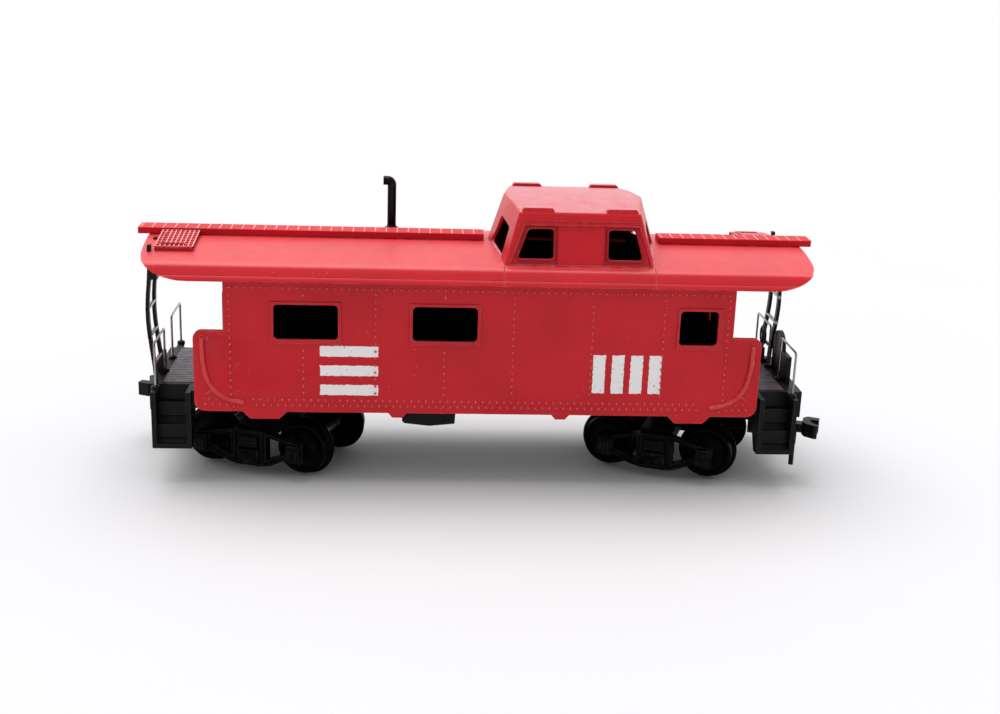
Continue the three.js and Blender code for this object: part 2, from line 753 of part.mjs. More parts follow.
// ---------------------------------------------------------------- trucks
// Pieces of one truck in its own frame: X along the truck towards the coupler, origin over its centre.
function sideFrame() {
  const { inner, outer, box: boxFace, journal } = FRAME;
  const { half, bottom, top } = JOURNAL_BOX;
  const ends = [-TRUCK.wheelbase / 2, TRUCK.wheelbase / 2];
  const left = FRAME_OUTLINE.map(([x, z]) => [-x, z]).reverse();
  const outline = polygon([...FRAME_OUTLINE, ...left]);
  for (const side of [-1, 1])
    outline.holes.push(polygon(FRAME_OPENING.map(([x, z]) => [side * x, z])));
  const plate = prismY(outline, -outer, -inner);
  const boxes = ends.map((x) => box(x - half, x + half, -boxFace, -inner - 0.1, bottom, top));
  const bores = ends.map((x) =>
    rod([x, -journal - 0.05, WHEEL.flange], [x, -inner + 1, WHEEL.flange], WHEEL.axle + RUN, 16),
  );
  const springs = box(
    -SPRINGS.half,
    SPRINGS.half,
    -outer - SPRINGS.proud,
    -inner,
    SPRINGS.bottom,
    SPRINGS.top,
  );
  return cut(join([plate, ...boxes, springs]), bores);
}

// The arm that carries the coupler, with its open-bottomed pocket.
function couplerArm() {
  const { halfWidth, bottom, top, pocket, wall } = ARM;
  const back = COUPLER.pivot - POCKET.back;
  const front = COUPLER.pivot + POCKET.front;
  const side = polygon([
    [RISER.from, RISER.bottom],
    [RISER.to, RISER.bottom],
    [RISER.to, bottom],
    [back - wall, bottom],
    [back - wall, pocket],
    [front, pocket],
    [front, top],
    [RISER.from, top],
  ]);
  const cavity = box(back, front + 1, -halfWidth + wall, halfWidth - wall, pocket - 1, bottom);
  const post = rod([COUPLER.pivot, 0, pocket], [COUPLER.pivot, 0, bottom + 0.4], COUPLER.post, 16);
  return prismY(side, -halfWidth, halfWidth).subtract(cavity).add(post);
}

function truckFrame() {
  const { half, bottom, top, pad } = BOLSTER;
  const seat = TRUCK.bossBottom - RUN;
  const reach = FRAME.inner + 0.2;
  const bolster = box(-half, half, -reach, reach, bottom, top);
  const centrePad = rod([0, 0, top - 0.5], [0, 0, seat + 0.5], pad, 20);
  const hole = rod([0, 0, bottom - 1], [0, 0, seat + 1], PIN.shank + 0.1, 16);
  const bossRoom = box(-TRUCK.boss, TRUCK.boss + 0.6, -5, 5, seat, ARM.top + 1);
  return cut(join([bothY(sideFrame()), bolster, centrePad, couplerArm()]), [hole, bossRoom]);
}

function axle() {
  const { axle: r } = WHEEL;
  const tip = FRAME.journal;
  return solid(lathe([[0, -tip], [r, -tip + 0.3], [r, tip - 0.3], [0, tip]], 16));
}

// A wheel on the near side, in its own frame: the axle is the Y axis.
function wheel() {
  const { flange, tread, back, flangeThick, face, axle: r } = WHEEL;
  const profile = [
    [r + 0.01, -back],
    [r + 0.01, -face],
    [1.7, -face],
    [2.0, -face + 0.7],
    [3.9, -face + 0.7],
    [4.1, -face],
    [tread - 0.1, -face],
    [tread, -back - flangeThick],
    [flange, -back - flangeThick / 2],
    [flange, -back],
    [r + 0.01, -back],
  ];
  return solid(lathe(profile, 24));
}

// Horn-hook coupler with its trip pin and centring whisker: the pivot at the origin, the head to +X.
function coupler() {
  const { thick, post, height, ring, shank, shankEnd, headBottom, headTop } = COUPLER;
  const low = height - thick / 2;
  const high = height + thick / 2;
  const { x, bottom, thin, thick: upper, step } = TRIP_PIN;
  const body = join([
    rod([0, 0, low], [0, 0, high], ring, 16),
    box(0.5, shankEnd, -shank, shank, low, high),
    prismZ(polygon(COUPLER_HEAD), headBottom, headTop),
    box(WHISKER.from, -0.5, -WHISKER.half, WHISKER.half, low, high),
    rod([x, 0, step], [x, 0, high - 0.2], upper, 10),
    rod([x, 0, bottom], [x, 0, step + 0.5], thin, 10),
  ]);
  return cut(body, [rod([0, 0, low - 1], [0, 0, high + 1], post + RUN, 16)]);
}

// The plate that closes the coupler's pocket from below.
function pocketLid() {
  const { halfWidth, pocket, wall } = ARM;
  const back = COUPLER.pivot - POCKET.back - wall;
  const front = COUPLER.pivot + POCKET.front - 0.8;
  return box(back, front, -halfWidth, halfWidth, pocket - FIT - POCKET.lid, pocket - FIT);
}

function kingpin() {
  const { shank, head, headThick, top } = PIN;
  const low = BOLSTER.bottom - RUN - headThick;
  const profile = [
    [0, low],
    [head * 0.75, low],
    [head, low + headThick / 2],
    [head, low + headThick],
    [shank, low + headThick],
    [shank, top],
    [0, top],
  ];
  return solid(lathe(profile, 16).rotateX(Math.PI / 2));
}

// ---------------------------------------------------------------- assembly
const paint = (color, roughness, metalness = 0) =>
  new THREE.MeshStandardMaterial({ color, roughness, metalness });
const RED = () => paint(0xbd2c34, 0.5);
const BLACK = () => paint(0x17181b, 0.55);
const STEEL = () => paint(0xb9b6b0, 0.3, 1);

const part = new THREE.Group();

function add(group, name, manifold, material, x = 0) {
  const mesh = new THREE.Mesh(geometryOf(manifold), material);
  mesh.name = name;
  mesh.position.x = x;
  group.add(mesh);
}

add(part, "body_shell", bodyShell(), RED());
add(part, "roof", roofShell(), RED());
add(part, "cupola", cupolaShell(), RED());
add(part, "running_board_left", runningBoard(-WALK.end, WALK.leftStop), RED());
add(part, "running_board_right", runningBoard(WALK.rightStop, WALK.end), RED());
add(part, "roof_step_left", roofGrid(GRID.leftEnd), RED());
add(part, "roof_step_right", halfTurn(roofGrid(-GRID.rightEnd)), RED());
add(part, "smokestack", smokestack(), BLACK());
add(part, "underframe", underframe(), BLACK());
add(part, "weight_plate", weightPlate(), STEEL());
add(part, "end_ladder_left", ladder(), BLACK());
add(part, "end_ladder_right", halfTurn(ladder()), BLACK());
add(part, "handrail_left_near", handrail(), STEEL());
add(part, "handrail_left_far", mirrorY(handrail()), STEEL());
add(part, "handrail_right_near", mirrorX(handrail()), STEEL());
add(part, "handrail_right_far", halfTurn(handrail()), STEEL());
add(part, "brake_stand", brakeStand(), BLACK());
add(part, "brake_wheel", brakeWheel(), BLACK());
add(part, "end_gate", brakeGate(), BLACK());

const ENDS = [
  { end: "left", x: -TRUCK.centre, turn: 180 },
  { end: "right", x: TRUCK.centre, turn: 0 },
];
for (const { end, x, turn } of ENDS) {
  add(part, `kingpin_${end}`, kingpin(), STEEL(), x);

  const truck = new THREE.Group();
  truck.position.x = x;
  truck.rotation.z = THREE.MathUtils.degToRad(turn - TRUCK.restYaw);
  part.add(truck);
  add(truck, `truck_frame_${end}`, truckFrame(), BLACK());
  add(truck, `coupler_lid_${end}`, pocketLid(), BLACK());
  add(truck, `coupler_${end}`, coupler(), BLACK(), COUPLER.pivot);

  for (const [place, along] of [["outer", 0.5], ["inner", -0.5]]) {
    const set = new THREE.Group();
    set.position.set(along * TRUCK.wheelbase, 0, WHEEL.flange);
    truck.add(set);
    add(set, `axle_${end}_${place}`, axle(), STEEL());
    add(set, `wheel_${end}_${place}_a`, wheel(), BLACK());
    add(set, `wheel_${end}_${place}_b`, mirrorY(wheel()), BLACK());
  }
}

export default part;
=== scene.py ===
"""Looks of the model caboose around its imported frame.

Lengths are millimetres in the part's frame until a piece is finished, which turns them into metres. +X runs
along the car to the brake end, +Z is up, and the near side is at -Y.
"""

import json
import math
import random

import bmesh
import bpy
from mathutils import Matrix, Vector

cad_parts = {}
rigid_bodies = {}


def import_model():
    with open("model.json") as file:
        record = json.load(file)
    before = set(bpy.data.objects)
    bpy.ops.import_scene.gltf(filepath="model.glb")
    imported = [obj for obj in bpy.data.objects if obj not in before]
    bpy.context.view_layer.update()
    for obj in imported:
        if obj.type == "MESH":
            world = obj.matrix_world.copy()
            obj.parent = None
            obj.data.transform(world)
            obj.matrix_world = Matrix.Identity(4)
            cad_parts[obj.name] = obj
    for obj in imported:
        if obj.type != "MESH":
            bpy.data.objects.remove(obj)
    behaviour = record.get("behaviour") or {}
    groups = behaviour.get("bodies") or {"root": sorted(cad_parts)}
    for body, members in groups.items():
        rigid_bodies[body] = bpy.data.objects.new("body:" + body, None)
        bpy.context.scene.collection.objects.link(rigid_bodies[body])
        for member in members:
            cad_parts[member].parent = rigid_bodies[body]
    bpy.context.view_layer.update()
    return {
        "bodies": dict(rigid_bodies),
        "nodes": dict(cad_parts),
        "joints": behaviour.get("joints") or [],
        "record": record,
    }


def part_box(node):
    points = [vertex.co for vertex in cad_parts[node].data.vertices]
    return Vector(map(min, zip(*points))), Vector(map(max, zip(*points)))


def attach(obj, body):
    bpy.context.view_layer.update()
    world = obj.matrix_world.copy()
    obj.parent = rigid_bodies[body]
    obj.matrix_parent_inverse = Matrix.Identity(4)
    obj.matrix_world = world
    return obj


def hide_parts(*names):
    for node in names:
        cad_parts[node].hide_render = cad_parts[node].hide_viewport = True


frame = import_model()
MM = 0.001
JOINTS = {joint["name"]: joint for joint in frame["joints"]}
random.seed(7)


def node_box(node):
    """A CAD node's lowest and highest corner in millimetres."""
    low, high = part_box(node)
    return low / MM, high / MM


def span(side, a, b):
    """Two distances from the car's middle, as low and high coordinates on one side or end of it."""
    return sorted((side * a, side * b))


# ---- driving sizes, from the frame
ROOF_LOW, ROOF_HIGH = node_box("roof")
CUPOLA_LOW, CUPOLA_HIGH = node_box("cupola")
SIDE_Y = 17.0  # outer face of the body's sides
HALF_BODY = 46.75
DECK_TOP = 18.0
EAVE, CROWN = ROOF_LOW.z, ROOF_HIGH.z
SHOULDER, SHOULDER_Y = 42.5, 16.2  # the roof's height and half width where it turns down to the eave
CUPOLA_X = (CUPOLA_LOW.x + CUPOLA_HIGH.x) / 2
CUPOLA_TOP, CUPOLA_FOOT, CUPOLA_CROWN = 52.3, 42.3, 53.2
# the cupola's half length at its corners, half width, and half length at the middle of its ends
TOP_PLAN, FOOT_PLAN = (11.05, 13.9, 13.1), (13.95, 16.0, 16.8)
PITCH = 1.33  # rivet spacing


# ---- node materials
class Nodes:
    """Short ways to build one node tree."""

    def __init__(self, name):
        self.material = bpy.data.materials.new(name)
        self.material.use_nodes = True
        self.tree = self.material.node_tree
        self.tree.nodes.clear()
        self.coords = self.add("ShaderNodeTexCoord").outputs["Object"]

    def add(self, kind, **settings):
        node = self.tree.nodes.new(kind)
        for key, value in settings.items():
            setattr(node, key, value)
        return node

    def feed(self, socket, value):
        if isinstance(value, bpy.types.NodeSocket):
            self.tree.links.new(value, socket)
        elif isinstance(value, (tuple, list)) and len(value) == 3 and socket.type == "RGBA":
            socket.default_value = (*value, 1.0)
        else:
            socket.default_value = value

    def fill(self, node, **sockets):
        """Sets or links a node's inputs by name."""
        for key, value in sockets.items():
            self.feed(node.inputs[key.replace("_", " ")], value)
        return node

    def math(self, operation, *values, clamp=False):
        node = self.add("ShaderNodeMath", operation=operation, use_clamp=clamp)
        for socket, value in zip(node.inputs, values):
            self.feed(socket, value)
        return node.outputs[0]

    def mix(self, factor, a, b, blend="MIX"):
        node = self.add("ShaderNodeMix", data_type="RGBA", blend_type=blend)
        return self.fill(node, Factor=factor, A=a, B=b).outputs["Result"]

    def scaled(self, x, y, z):
        node = self.add("ShaderNodeMapping")
        return self.fill(node, Vector=self.coords, Scale=(x, y, z)).outputs["Vector"]

    def noise(self, size_mm, detail=3.0, rough=0.55, stretch=(1, 1, 1)):
        node = self.add("ShaderNodeTexNoise")
        self.fill(node, Vector=self.scaled(*stretch), Scale=1000.0 / size_mm)
        return self.fill(node, Detail=detail, Roughness=rough).outputs["Fac"]

    def cells(self, size_mm, stretch=(1, 1, 1)):
        node = self.add("ShaderNodeTexVoronoi", feature="F1")
        self.fill(node, Vector=self.scaled(*stretch), Scale=1000.0 / size_mm)
        return node.outputs["Distance"]

    def step(self, value, low, high):
        """0 under low, 1 over high, and smooth between them."""
        node = self.add("ShaderNodeMapRange", interpolation_type="SMOOTHSTEP")
        return self.fill(node, Value=value, From_Min=low, From_Max=high).outputs["Result"]

    def closeness(self, reach_mm, inside):
        """1 on open faces, less in creases, or with inside less near edges that stand out."""
        node = self.add("ShaderNodeAmbientOcclusion", inside=inside, samples=4)
        return self.fill(node, Distance=reach_mm * MM).outputs["AO"]

    def upward(self, low, high):
        normal = self.add("ShaderNodeNewGeometry").outputs["Normal"]
        z = self.add("ShaderNodeSeparateXYZ")
        self.feed(z.inputs[0], normal)
        return self.step(z.outputs["Z"], low, high)

    def place(self):
        node = self.add("ShaderNodeSeparateXYZ")
        self.feed(node.inputs[0], self.coords)
        return [self.times(out, 1000.0) for out in node.outputs]

    def bump(self, height, depth_mm, strength=1.0):
        node = self.add("ShaderNodeBump")
        return self.fill(node, Distance=depth_mm * MM, Strength=strength, Height=height).outputs["Normal"]

    def within(self, value, limit):
        """1 where a value's size is under a limit."""
        return self.math("LESS_THAN", self.math("ABSOLUTE", value), limit)

    def times(self, first, *others):
        """The product of two values or more."""
        for value in others:
            first = self.math("MULTIPLY", first, value)
        return first

    def flip(self, value):
        return self.math("SUBTRACT", 1.0, value)

    def indoors(self):
        """1 on the faces that look into the closed body or into the cupola."""
        x, y, z = self.place()
        bend = (CROWN - SHOULDER) / SHOULDER_Y ** 2
        sag = self.times(y, y, bend)
        ceiling = self.math("SUBTRACT", CROWN - 0.5, sag)
        under = self.math("LESS_THAN", z, ceiling)
        room = self.times(
            self.within(x, HALF_BODY - 0.55),
            self.within(y, SIDE_Y - 0.65),
            under,
            self.math("GREATER_THAN", z, DECK_TOP - 1.5),
        )
        drop = self.math("DIVIDE", self.math("SUBTRACT", CUPOLA_TOP, z), CUPOLA_TOP - CUPOLA_FOOT)
        half_x, half_y, prow = [
            self.math("ADD", self.times(drop, foot - top), top - 0.55)
            for top, foot in zip(TOP_PLAN, FOOT_PLAN)
        ]
        middle = self.flip(self.math("DIVIDE", self.math("ABSOLUTE", y), half_y))
        reach = self.math("ADD", half_x, self.times(self.math("SUBTRACT", prow, half_x), middle))
        lookout = self.times(
            self.within(self.math("SUBTRACT", x, CUPOLA_X), reach),
            self.within(y, half_y),
            self.math("LESS_THAN", z, CUPOLA_TOP - 0.25),
            self.math("GREATER_THAN", z, CUPOLA_FOOT - 0.9),
        )
        return self.math("MAXIMUM", room, lookout)

    def surface(self, **sockets):
        shader = self.fill(self.add("ShaderNodeBsdfPrincipled"), **sockets)
        out = self.add("ShaderNodeOutputMaterial")
        self.tree.links.new(shader.outputs[0], out.inputs["Surface"])
        return self.material


def worn_plastic(
    name, colour, pale, roughness, specular, dust_and_sheen, scuffs, wear,
    crease_shade=0.62, dust_and_sheen_tone=None, paint=None, shade_inside=False,
):
    """Moulded plastic with grain, scratches, worn edges, painted shade in creases, and dust and painted
    sheen on top.

    The strengths of the top film, scuffs, wear and crease darkening say how strong each one is. The top
    film is dust and a painted sheen of the light from above; the crease darkening is painted shade. A flag
    paints shade, near black, on the faces that look into the car.
    paint is a function that prints on the colour.
    """
    n = Nodes(name)
    cloud = n.noise(14.0, 4.0)
    grain = n.noise(0.30, 2.0)
    tone = n.mix(n.step(cloud, 0.35, 0.7), colour, [c * 0.88 for c in colour])
    if paint:
        tone = paint(n, tone)
    nick_a = n.step(n.noise(0.7, 2.0, stretch=(0.16, 1, 1)), 0.735, 0.78)
    nick_b = n.step(n.noise(0.6, 2.0, stretch=(1, 1, 0.14)), 0.725, 0.77)
    patches = n.step(n.noise(11.0, 3.0), 0.53, 0.64)
    scratches = n.times(n.math("MAXIMUM", nick_a, nick_b), patches)
    tone = n.mix(n.times(scratches, scuffs), tone, pale)
    specks = n.flip(n.step(n.cells(1.5), 0.035, 0.075))
    rare = n.step(n.noise(5.0, 2.0), 0.50, 0.62)
    tone = n.mix(n.times(specks, rare, 0.55), tone, pale)
    uneven = n.math("ADD", n.times(n.step(n.noise(2.6, 5.0, 0.7), 0.25, 0.80), 0.5), 0.5)
    # dust and painted sheen: a pale film on upward faces, partly dust and partly the sheen of the light
    # from above
    film = n.times(n.upward(0.55, 0.98), uneven)
    tone = n.mix(n.times(film, dust_and_sheen), tone, dust_and_sheen_tone or pale)
    # painted shade: creases and the feet of raised details are darkened towards near black
    crease = n.flip(n.step(n.closeness(0.55, False), 0.35, 0.92))
    tone = n.mix(n.times(crease, crease_shade), tone, [c * 0.22 for c in colour])
    edges = n.flip(n.step(n.closeness(0.16, True), 0.45, 0.95))
    rubbed = n.times(edges, n.step(n.noise(1.8, 3.0), 0.35, 0.6))
    tone = n.mix(n.times(rubbed, wear), tone, pale)
    rough = n.math("ADD", roughness, n.times(n.math("SUBTRACT", cloud, 0.5), 0.25))
    rough = n.math("ADD", rough, n.times(film, 0.10), clamp=True)
    # painted shade: faces that look into the closed car or cupola go near black and lose their reflections
    if shade_inside:
        inside = n.indoors()
        tone = n.mix(inside, tone, [c * 0.012 for c in colour])
        specular = n.times(n.flip(inside), specular)
    height = n.math("ADD", n.times(grain, 0.6), n.times(scratches, -0.8))
    return n.surface(
        Base_Color=tone,
        Roughness=rough,
        Specular_IOR_Level=specular,
        Normal=n.bump(height, 0.03, 0.5),
    )


# the plain bars printed on each side: lowest and highest X, lowest and highest Z
LYING_BARS = [(-29.4, -18.8, z, z + 2.0) for z in (17.9, 21.6, 25.3)]
STANDING_BARS = [(x, x + 2.3, 18.9, 26.3) for x in (20.9, 24.4, 27.9, 31.4)]
BAR_WHITE = (0.83, 0.80, 0.80)


def plain_marks(n, tone):
    """Plain white bars stamped on both sides, three lying and four standing."""
    x, y, z = n.place()
    outside = n.math("GREATER_THAN", n.math("ABSOLUTE", y), SIDE_Y - 0.15)
    ragged = n.times(n.math("SUBTRACT", n.noise(0.7, 4.0), 0.5), 0.45)

    def past(value, low, high):
        off = n.math("ABSOLUTE", n.math("SUBTRACT", value, (low + high) / 2))
        return n.math("SUBTRACT", off, (high - low) / 2)

    inked = 0.0
    for x0, x1, z0, z1 in LYING_BARS + STANDING_BARS:
        edge = n.math("ADD", n.math("MAXIMUM", past(x, x0, x1), past(z, z0, z1)), ragged)
        inked = n.math("MAXIMUM", inked, n.flip(n.step(edge, -0.06, 0.06)))
    chips = n.step(n.noise(0.45, 3.0), 0.28, 0.35)
    cover = n.times(inked, outside, chips)
    return n.mix(cover, tone, BAR_WHITE)


def wire_metal(name, colour, roughness):
    """Drawn metal, dull in patches."""
    n = Nodes(name)
    tarnish = n.step(n.noise(3.0, 4.0), 0.35, 0.75)
    tone = n.mix(tarnish, colour, [c * 0.55 for c in colour])
    drawn = n.noise(0.3, 2.0, stretch=(1, 1, 0.1))
    rough = n.math("ADD", roughness, n.times(tarnish, 0.2))
    return n.surface(Base_Color=tone, Metallic=1.0, Roughness=rough, Normal=n.bump(drawn, 0.01, 0.4))


def painted_floor(name):
    """A plain pale floor with hardly any pattern."""
    n = Nodes(name)
    tone = n.mix(n.noise(60.0, 3.0), (0.545, 0.545, 0.556), (0.560, 0.560, 0.570))
    return n.surface(Base_Color=tone, Roughness=0.75, Specular_IOR_Level=0.25)


RED_TONE = (0.545, 0.0075, 0.0155)
RED_PALE = (0.86, 0.36, 0.36)
# a lighter red for raised details: a painted highlight where they catch the light
RED_LIT = (0.68, 0.030, 0.034)
# the tone of the cupola's top film: dust with a painted sheen of the light from above
GREY_DUST_AND_SHEEN = (0.47, 0.38, 0.42)
RED = worn_plastic(
    "red_plastic", RED_TONE, RED_PALE,
    roughness=0.45, specular=0.26, dust_and_sheen=0.10, scuffs=0.35, wear=0.22, crease_shade=0.55,
    paint=plain_marks, shade_inside=True,
)
RED_ROOF = worn_plastic(
    "red_roof_plastic", RED_TONE, RED_PALE,
    roughness=0.31, specular=0.34, dust_and_sheen=0.12, scuffs=0.25, wear=0.25, crease_shade=0.5, shade_inside=True,
)
RED_LOOKOUT = worn_plastic(
    "red_lookout_plastic", RED_TONE, RED_PALE,
    roughness=0.32, specular=0.26, dust_and_sheen=0.52, scuffs=0.25, wear=0.30, dust_and_sheen_tone=GREY_DUST_AND_SHEEN, shade_inside=True,
)
# rivets and roof-step grids: the lighter red and the strong pale film on their tops are painted highlights,
# with a little dust
RED_RAISED = worn_plastic(
    "red_raised_plastic", RED_LIT, RED_PALE,
    roughness=0.28, specular=0.55, dust_and_sheen=0.7, scuffs=0.1, wear=0.12, crease_shade=0.3,
)
RED_TRIM = worn_plastic(
    "red_trim_plastic", (0.40, 0.006, 0.012), RED_PALE,
    roughness=0.45, specular=0.2, dust_and_sheen=0.0, scuffs=0.0, wear=0.0,
)
# grab irons: a slightly lighter red than the body, a painted highlight on their round bars
RED_IRON = worn_plastic(
    "red_iron_plastic", (0.60, 0.012, 0.014), RED_PALE,
    roughness=0.24, specular=0.5, dust_and_sheen=0.0, scuffs=0.1, wear=0.05, crease_shade=0.5,
)
RED_BOARD = worn_plastic(
    "red_board_plastic", (0.49, 0.009, 0.017), RED_PALE,
    roughness=0.5, specular=0.10, dust_and_sheen=0.10, scuffs=0.2, wear=0.1, crease_shade=0.3,
)
RED_GRID = worn_plastic(
    "red_grid_plastic", (0.44, 0.009, 0.017), RED_PALE,
    roughness=0.5, specular=0.2, dust_and_sheen=0.05, scuffs=0.0, wear=0.0, crease_shade=0.25,
)
RED_SLAT = worn_plastic(
    "red_slat_plastic", (0.62, 0.12, 0.12), RED_PALE,
    roughness=0.45, specular=0.5, dust_and_sheen=0.5, scuffs=0.2, wear=0.8,
)
BLACK_PALE = (0.13, 0.13, 0.15)
BLACK = worn_plastic(
    "black_plastic", (0.0030, 0.0032, 0.0042), BLACK_PALE,
    roughness=0.36, specular=0.14, dust_and_sheen=0.06, scuffs=0.08, wear=0.22,
)
GLOSS_BLACK = worn_plastic(
    "gloss_black_plastic", (0.0012, 0.0012, 0.0018), BLACK_PALE,
    roughness=0.14, specular=0.12, dust_and_sheen=0.01, scuffs=0.0, wear=0.1,
)
DECK = worn_plastic(
    "deck_plastic", (0.012, 0.012, 0.017), (0.27, 0.27, 0.31),
    roughness=0.36, specular=0.5, dust_and_sheen=0.28, scuffs=0.25, wear=0.3,
)
TRUCK = worn_plastic(
    "truck_plastic", (0.0014, 0.0016, 0.0022), BLACK_PALE,
    roughness=0.34, specular=0.05, dust_and_sheen=0.03, scuffs=0.06, wear=0.20,
)
WHEEL = worn_plastic(
    "wheel_plastic", (0.0010, 0.0010, 0.0013), BLACK_PALE,
    roughness=0.28, specular=0.03, dust_and_sheen=0.01, scuffs=0.03, wear=0.12,
)
WIRE = wire_metal("rail_wire", (0.34, 0.32, 0.29), 0.15)
STEEL = wire_metal("steel", (0.50, 0.49, 0.47), 0.35)


# ---- forms
SHARP = math.radians(32)


def is_crease(edge):
    """Whether shading breaks at an edge: at a corner, and where a wide face meets a narrow soft strip."""
    if not edge.is_manifold:
        return True
    turn = edge.calc_face_angle()
    narrow, wide = sorted(face.calc_area() for face in edge.link_faces)
    return turn > 1.5 * SHARP or (turn > 0.2 * SHARP and wide > 8 * narrow)


class Form:
    """A mesh being made, in millimetres. place moves what is added from a local frame to the row frame."""

    def __init__(self, place=None):
        self.bm = bmesh.new()
        self.place = place or Matrix.Identity(4)

    def _put(self, verts, extra=None):
        bmesh.ops.transform(self.bm, matrix=self.place @ (extra or Matrix.Identity(4)), verts=verts)

    def _close(self, faces, verts, extra=None):
        bmesh.ops.recalc_face_normals(self.bm, faces=faces)
        self._put(verts, extra)

    def _bevelled(self, made, width):
        """Bevels every edge of what was just made, and gives its vertices."""
        if not width:
            return made
        edges = list({e for v in made for e in v.link_edges})
        shape = {"offset": width, "segments": 2, "profile": 0.5}
        result = bmesh.ops.bevel(self.bm, geom=edges, affect="EDGES", clamp_overlap=True, **shape)
        return list({v for f in result["faces"] for v in f.verts} | {v for v in made if v.is_valid})

    def box(self, low, high, bevel=0.0):
        low, high = Vector(low), Vector(high)
        made = bmesh.ops.create_cube(self.bm, size=1.0)["verts"]
        size = Matrix.Diagonal((*(high - low), 1.0))
        bmesh.ops.transform(self.bm, matrix=size, verts=made)
        self._put(self._bevelled(made, bevel), Matrix.Translation((low + high) / 2))
        return self

    def prism(self, outline, along, start, end, bevel=0.0):
        """An outline of (a, b) points, run along axis 'X', 'Y' or 'Z' from start to end."""
        spot = {
            "X": lambda a, b, c: (c, a, b),
            "Y": lambda a, b, c: (a, c, b),
            "Z": lambda a, b, c: (a, b, c),
        }[along]
        rings = []
        for c in (start, end):
            rings.append([self.bm.verts.new(spot(a, b, c)) for a, b in outline])
        faces = [self.bm.faces.new(rings[0]), self.bm.faces.new(rings[1][::-1])]
        count = len(outline)
        for i in range(count):
            j = (i + 1) % count
            faces.append(self.bm.faces.new((rings[0][i], rings[1][i], rings[1][j], rings[0][j])))
        bmesh.ops.recalc_face_normals(self.bm, faces=faces)
        self._put(self._bevelled(rings[0] + rings[1], bevel))
        return self

    def turned(self, profile, axis_matrix, sides=32):
        """A closed profile of (radius, height) points turned about the local Z axis, then placed."""
        rings = []
        for r, h in profile:
            if r < 1e-6:
                rings.append([self.bm.verts.new((0, 0, h))])
            else:
                turn = [2 * math.pi * k / sides for k in range(sides)]
                rings.append([self.bm.verts.new((r * math.cos(t), r * math.sin(t), h)) for t in turn])
        faces = []
        closed = profile[0][0] > 1e-6
        pairs = list(zip(rings, rings[1:])) + ([(rings[-1], rings[0])] if closed else [])
        for low, high in pairs:
            for k in range(sides):
                m = (k + 1) % sides
                corners = [low[k % len(low)], low[m % len(low)], high[m % len(high)], high[k % len(high)]]
                corners = list(dict.fromkeys(corners))
                if len(corners) > 2:
                    faces.append(self.bm.faces.new(corners))
        self._close(faces, [v for ring in rings for v in ring], axis_matrix)
        return self

    def tube(self, points, radius, sides=10, closed=False):
        """A round bar through points."""
        points = [Vector(p) for p in points]
        count = len(points)
        rings = []
        side = None
        for i, p in enumerate(points):
            before = points[i - 1] if i or closed else p
            after = points[(i + 1) % count] if i + 1 < count or closed else p
            along = (after - before).normalized()
            if side is None:
                side = along.orthogonal().normalized()
            side = (side - along * side.dot(along)).normalized()
            other = along.cross(side)
            turn = [2 * math.pi * k / sides for k in range(sides)]
            spokes = [math.cos(t) * side + math.sin(t) * other for t in turn]
            rings.append([self.bm.verts.new(p + radius * spoke) for spoke in spokes])
        faces = []
        for i in range(count if closed else count - 1):
            a, b = rings[i], rings[(i + 1) % count]
            for k in range(sides):
                m = (k + 1) % sides
                faces.append(self.bm.faces.new((a[k], a[m], b[m], b[k])))
        if not closed:
            faces.append(self.bm.faces.new(rings[0][::-1]))
            faces.append(self.bm.faces.new(rings[-1]))
        self._close(faces, [v for ring in rings for v in ring])
        return self

    def dome(self, centre, outward, radius, height, sides=8):
        """A rivet's head standing on a face."""
        turn = Vector(outward).to_track_quat("Z", "Y").to_matrix().to_4x4()
        sunk = -0.05
        flank = [(radius, sunk), (radius, height * 0.35), (radius * 0.72, height * 0.85)]
        return self.turned(flank + [(0, height), (0, sunk)], Matrix.Translation(centre) @ turn, sides)

    def hull(self, points, bevel=0.0):
        """The convex form around points."""
        made = [self.bm.verts.new(p) for p in points]
        bmesh.ops.convex_hull(self.bm, input=made)
        flat = math.radians(1.0)
        bmesh.ops.dissolve_limit(self.bm, angle_limit=flat, verts=self.bm.verts, edges=self.bm.edges)
        if bevel:
            edges = [edge for edge in self.bm.edges if edge.calc_face_angle() > SHARP * 0.7]
            bmesh.ops.bevel(self.bm, geom=edges, offset=bevel, segments=3, profile=0.5, affect="EDGES")
        return self

    def carve(self, cuts=(), adds=()):
        """Joins other forms onto this one, and then cuts others out of it."""
        helpers = [self._stand_in()]
        for operation, forms in (("UNION", adds), ("DIFFERENCE", cuts)):
            for form in forms:
                helpers.append(form._stand_in())
                change = helpers[0].modifiers.new("change", "BOOLEAN")
                change.operation, change.solver, change.object = operation, "EXACT", helpers[-1]
        made = helpers[0].evaluated_get(bpy.context.evaluated_depsgraph_get())
        self.bm = bmesh.new()
        self.bm.from_mesh(made.to_mesh())
        made.to_mesh_clear()
        for helper in helpers:
            bpy.data.objects.remove(helper)
        return self

    def _stand_in(self):
        mesh = bpy.data.meshes.new("stand_in")
        self.bm.to_mesh(mesh)
        self.bm.free()
        helper = bpy.data.objects.new("stand_in", mesh)
        bpy.context.scene.collection.objects.link(helper)
        return helper

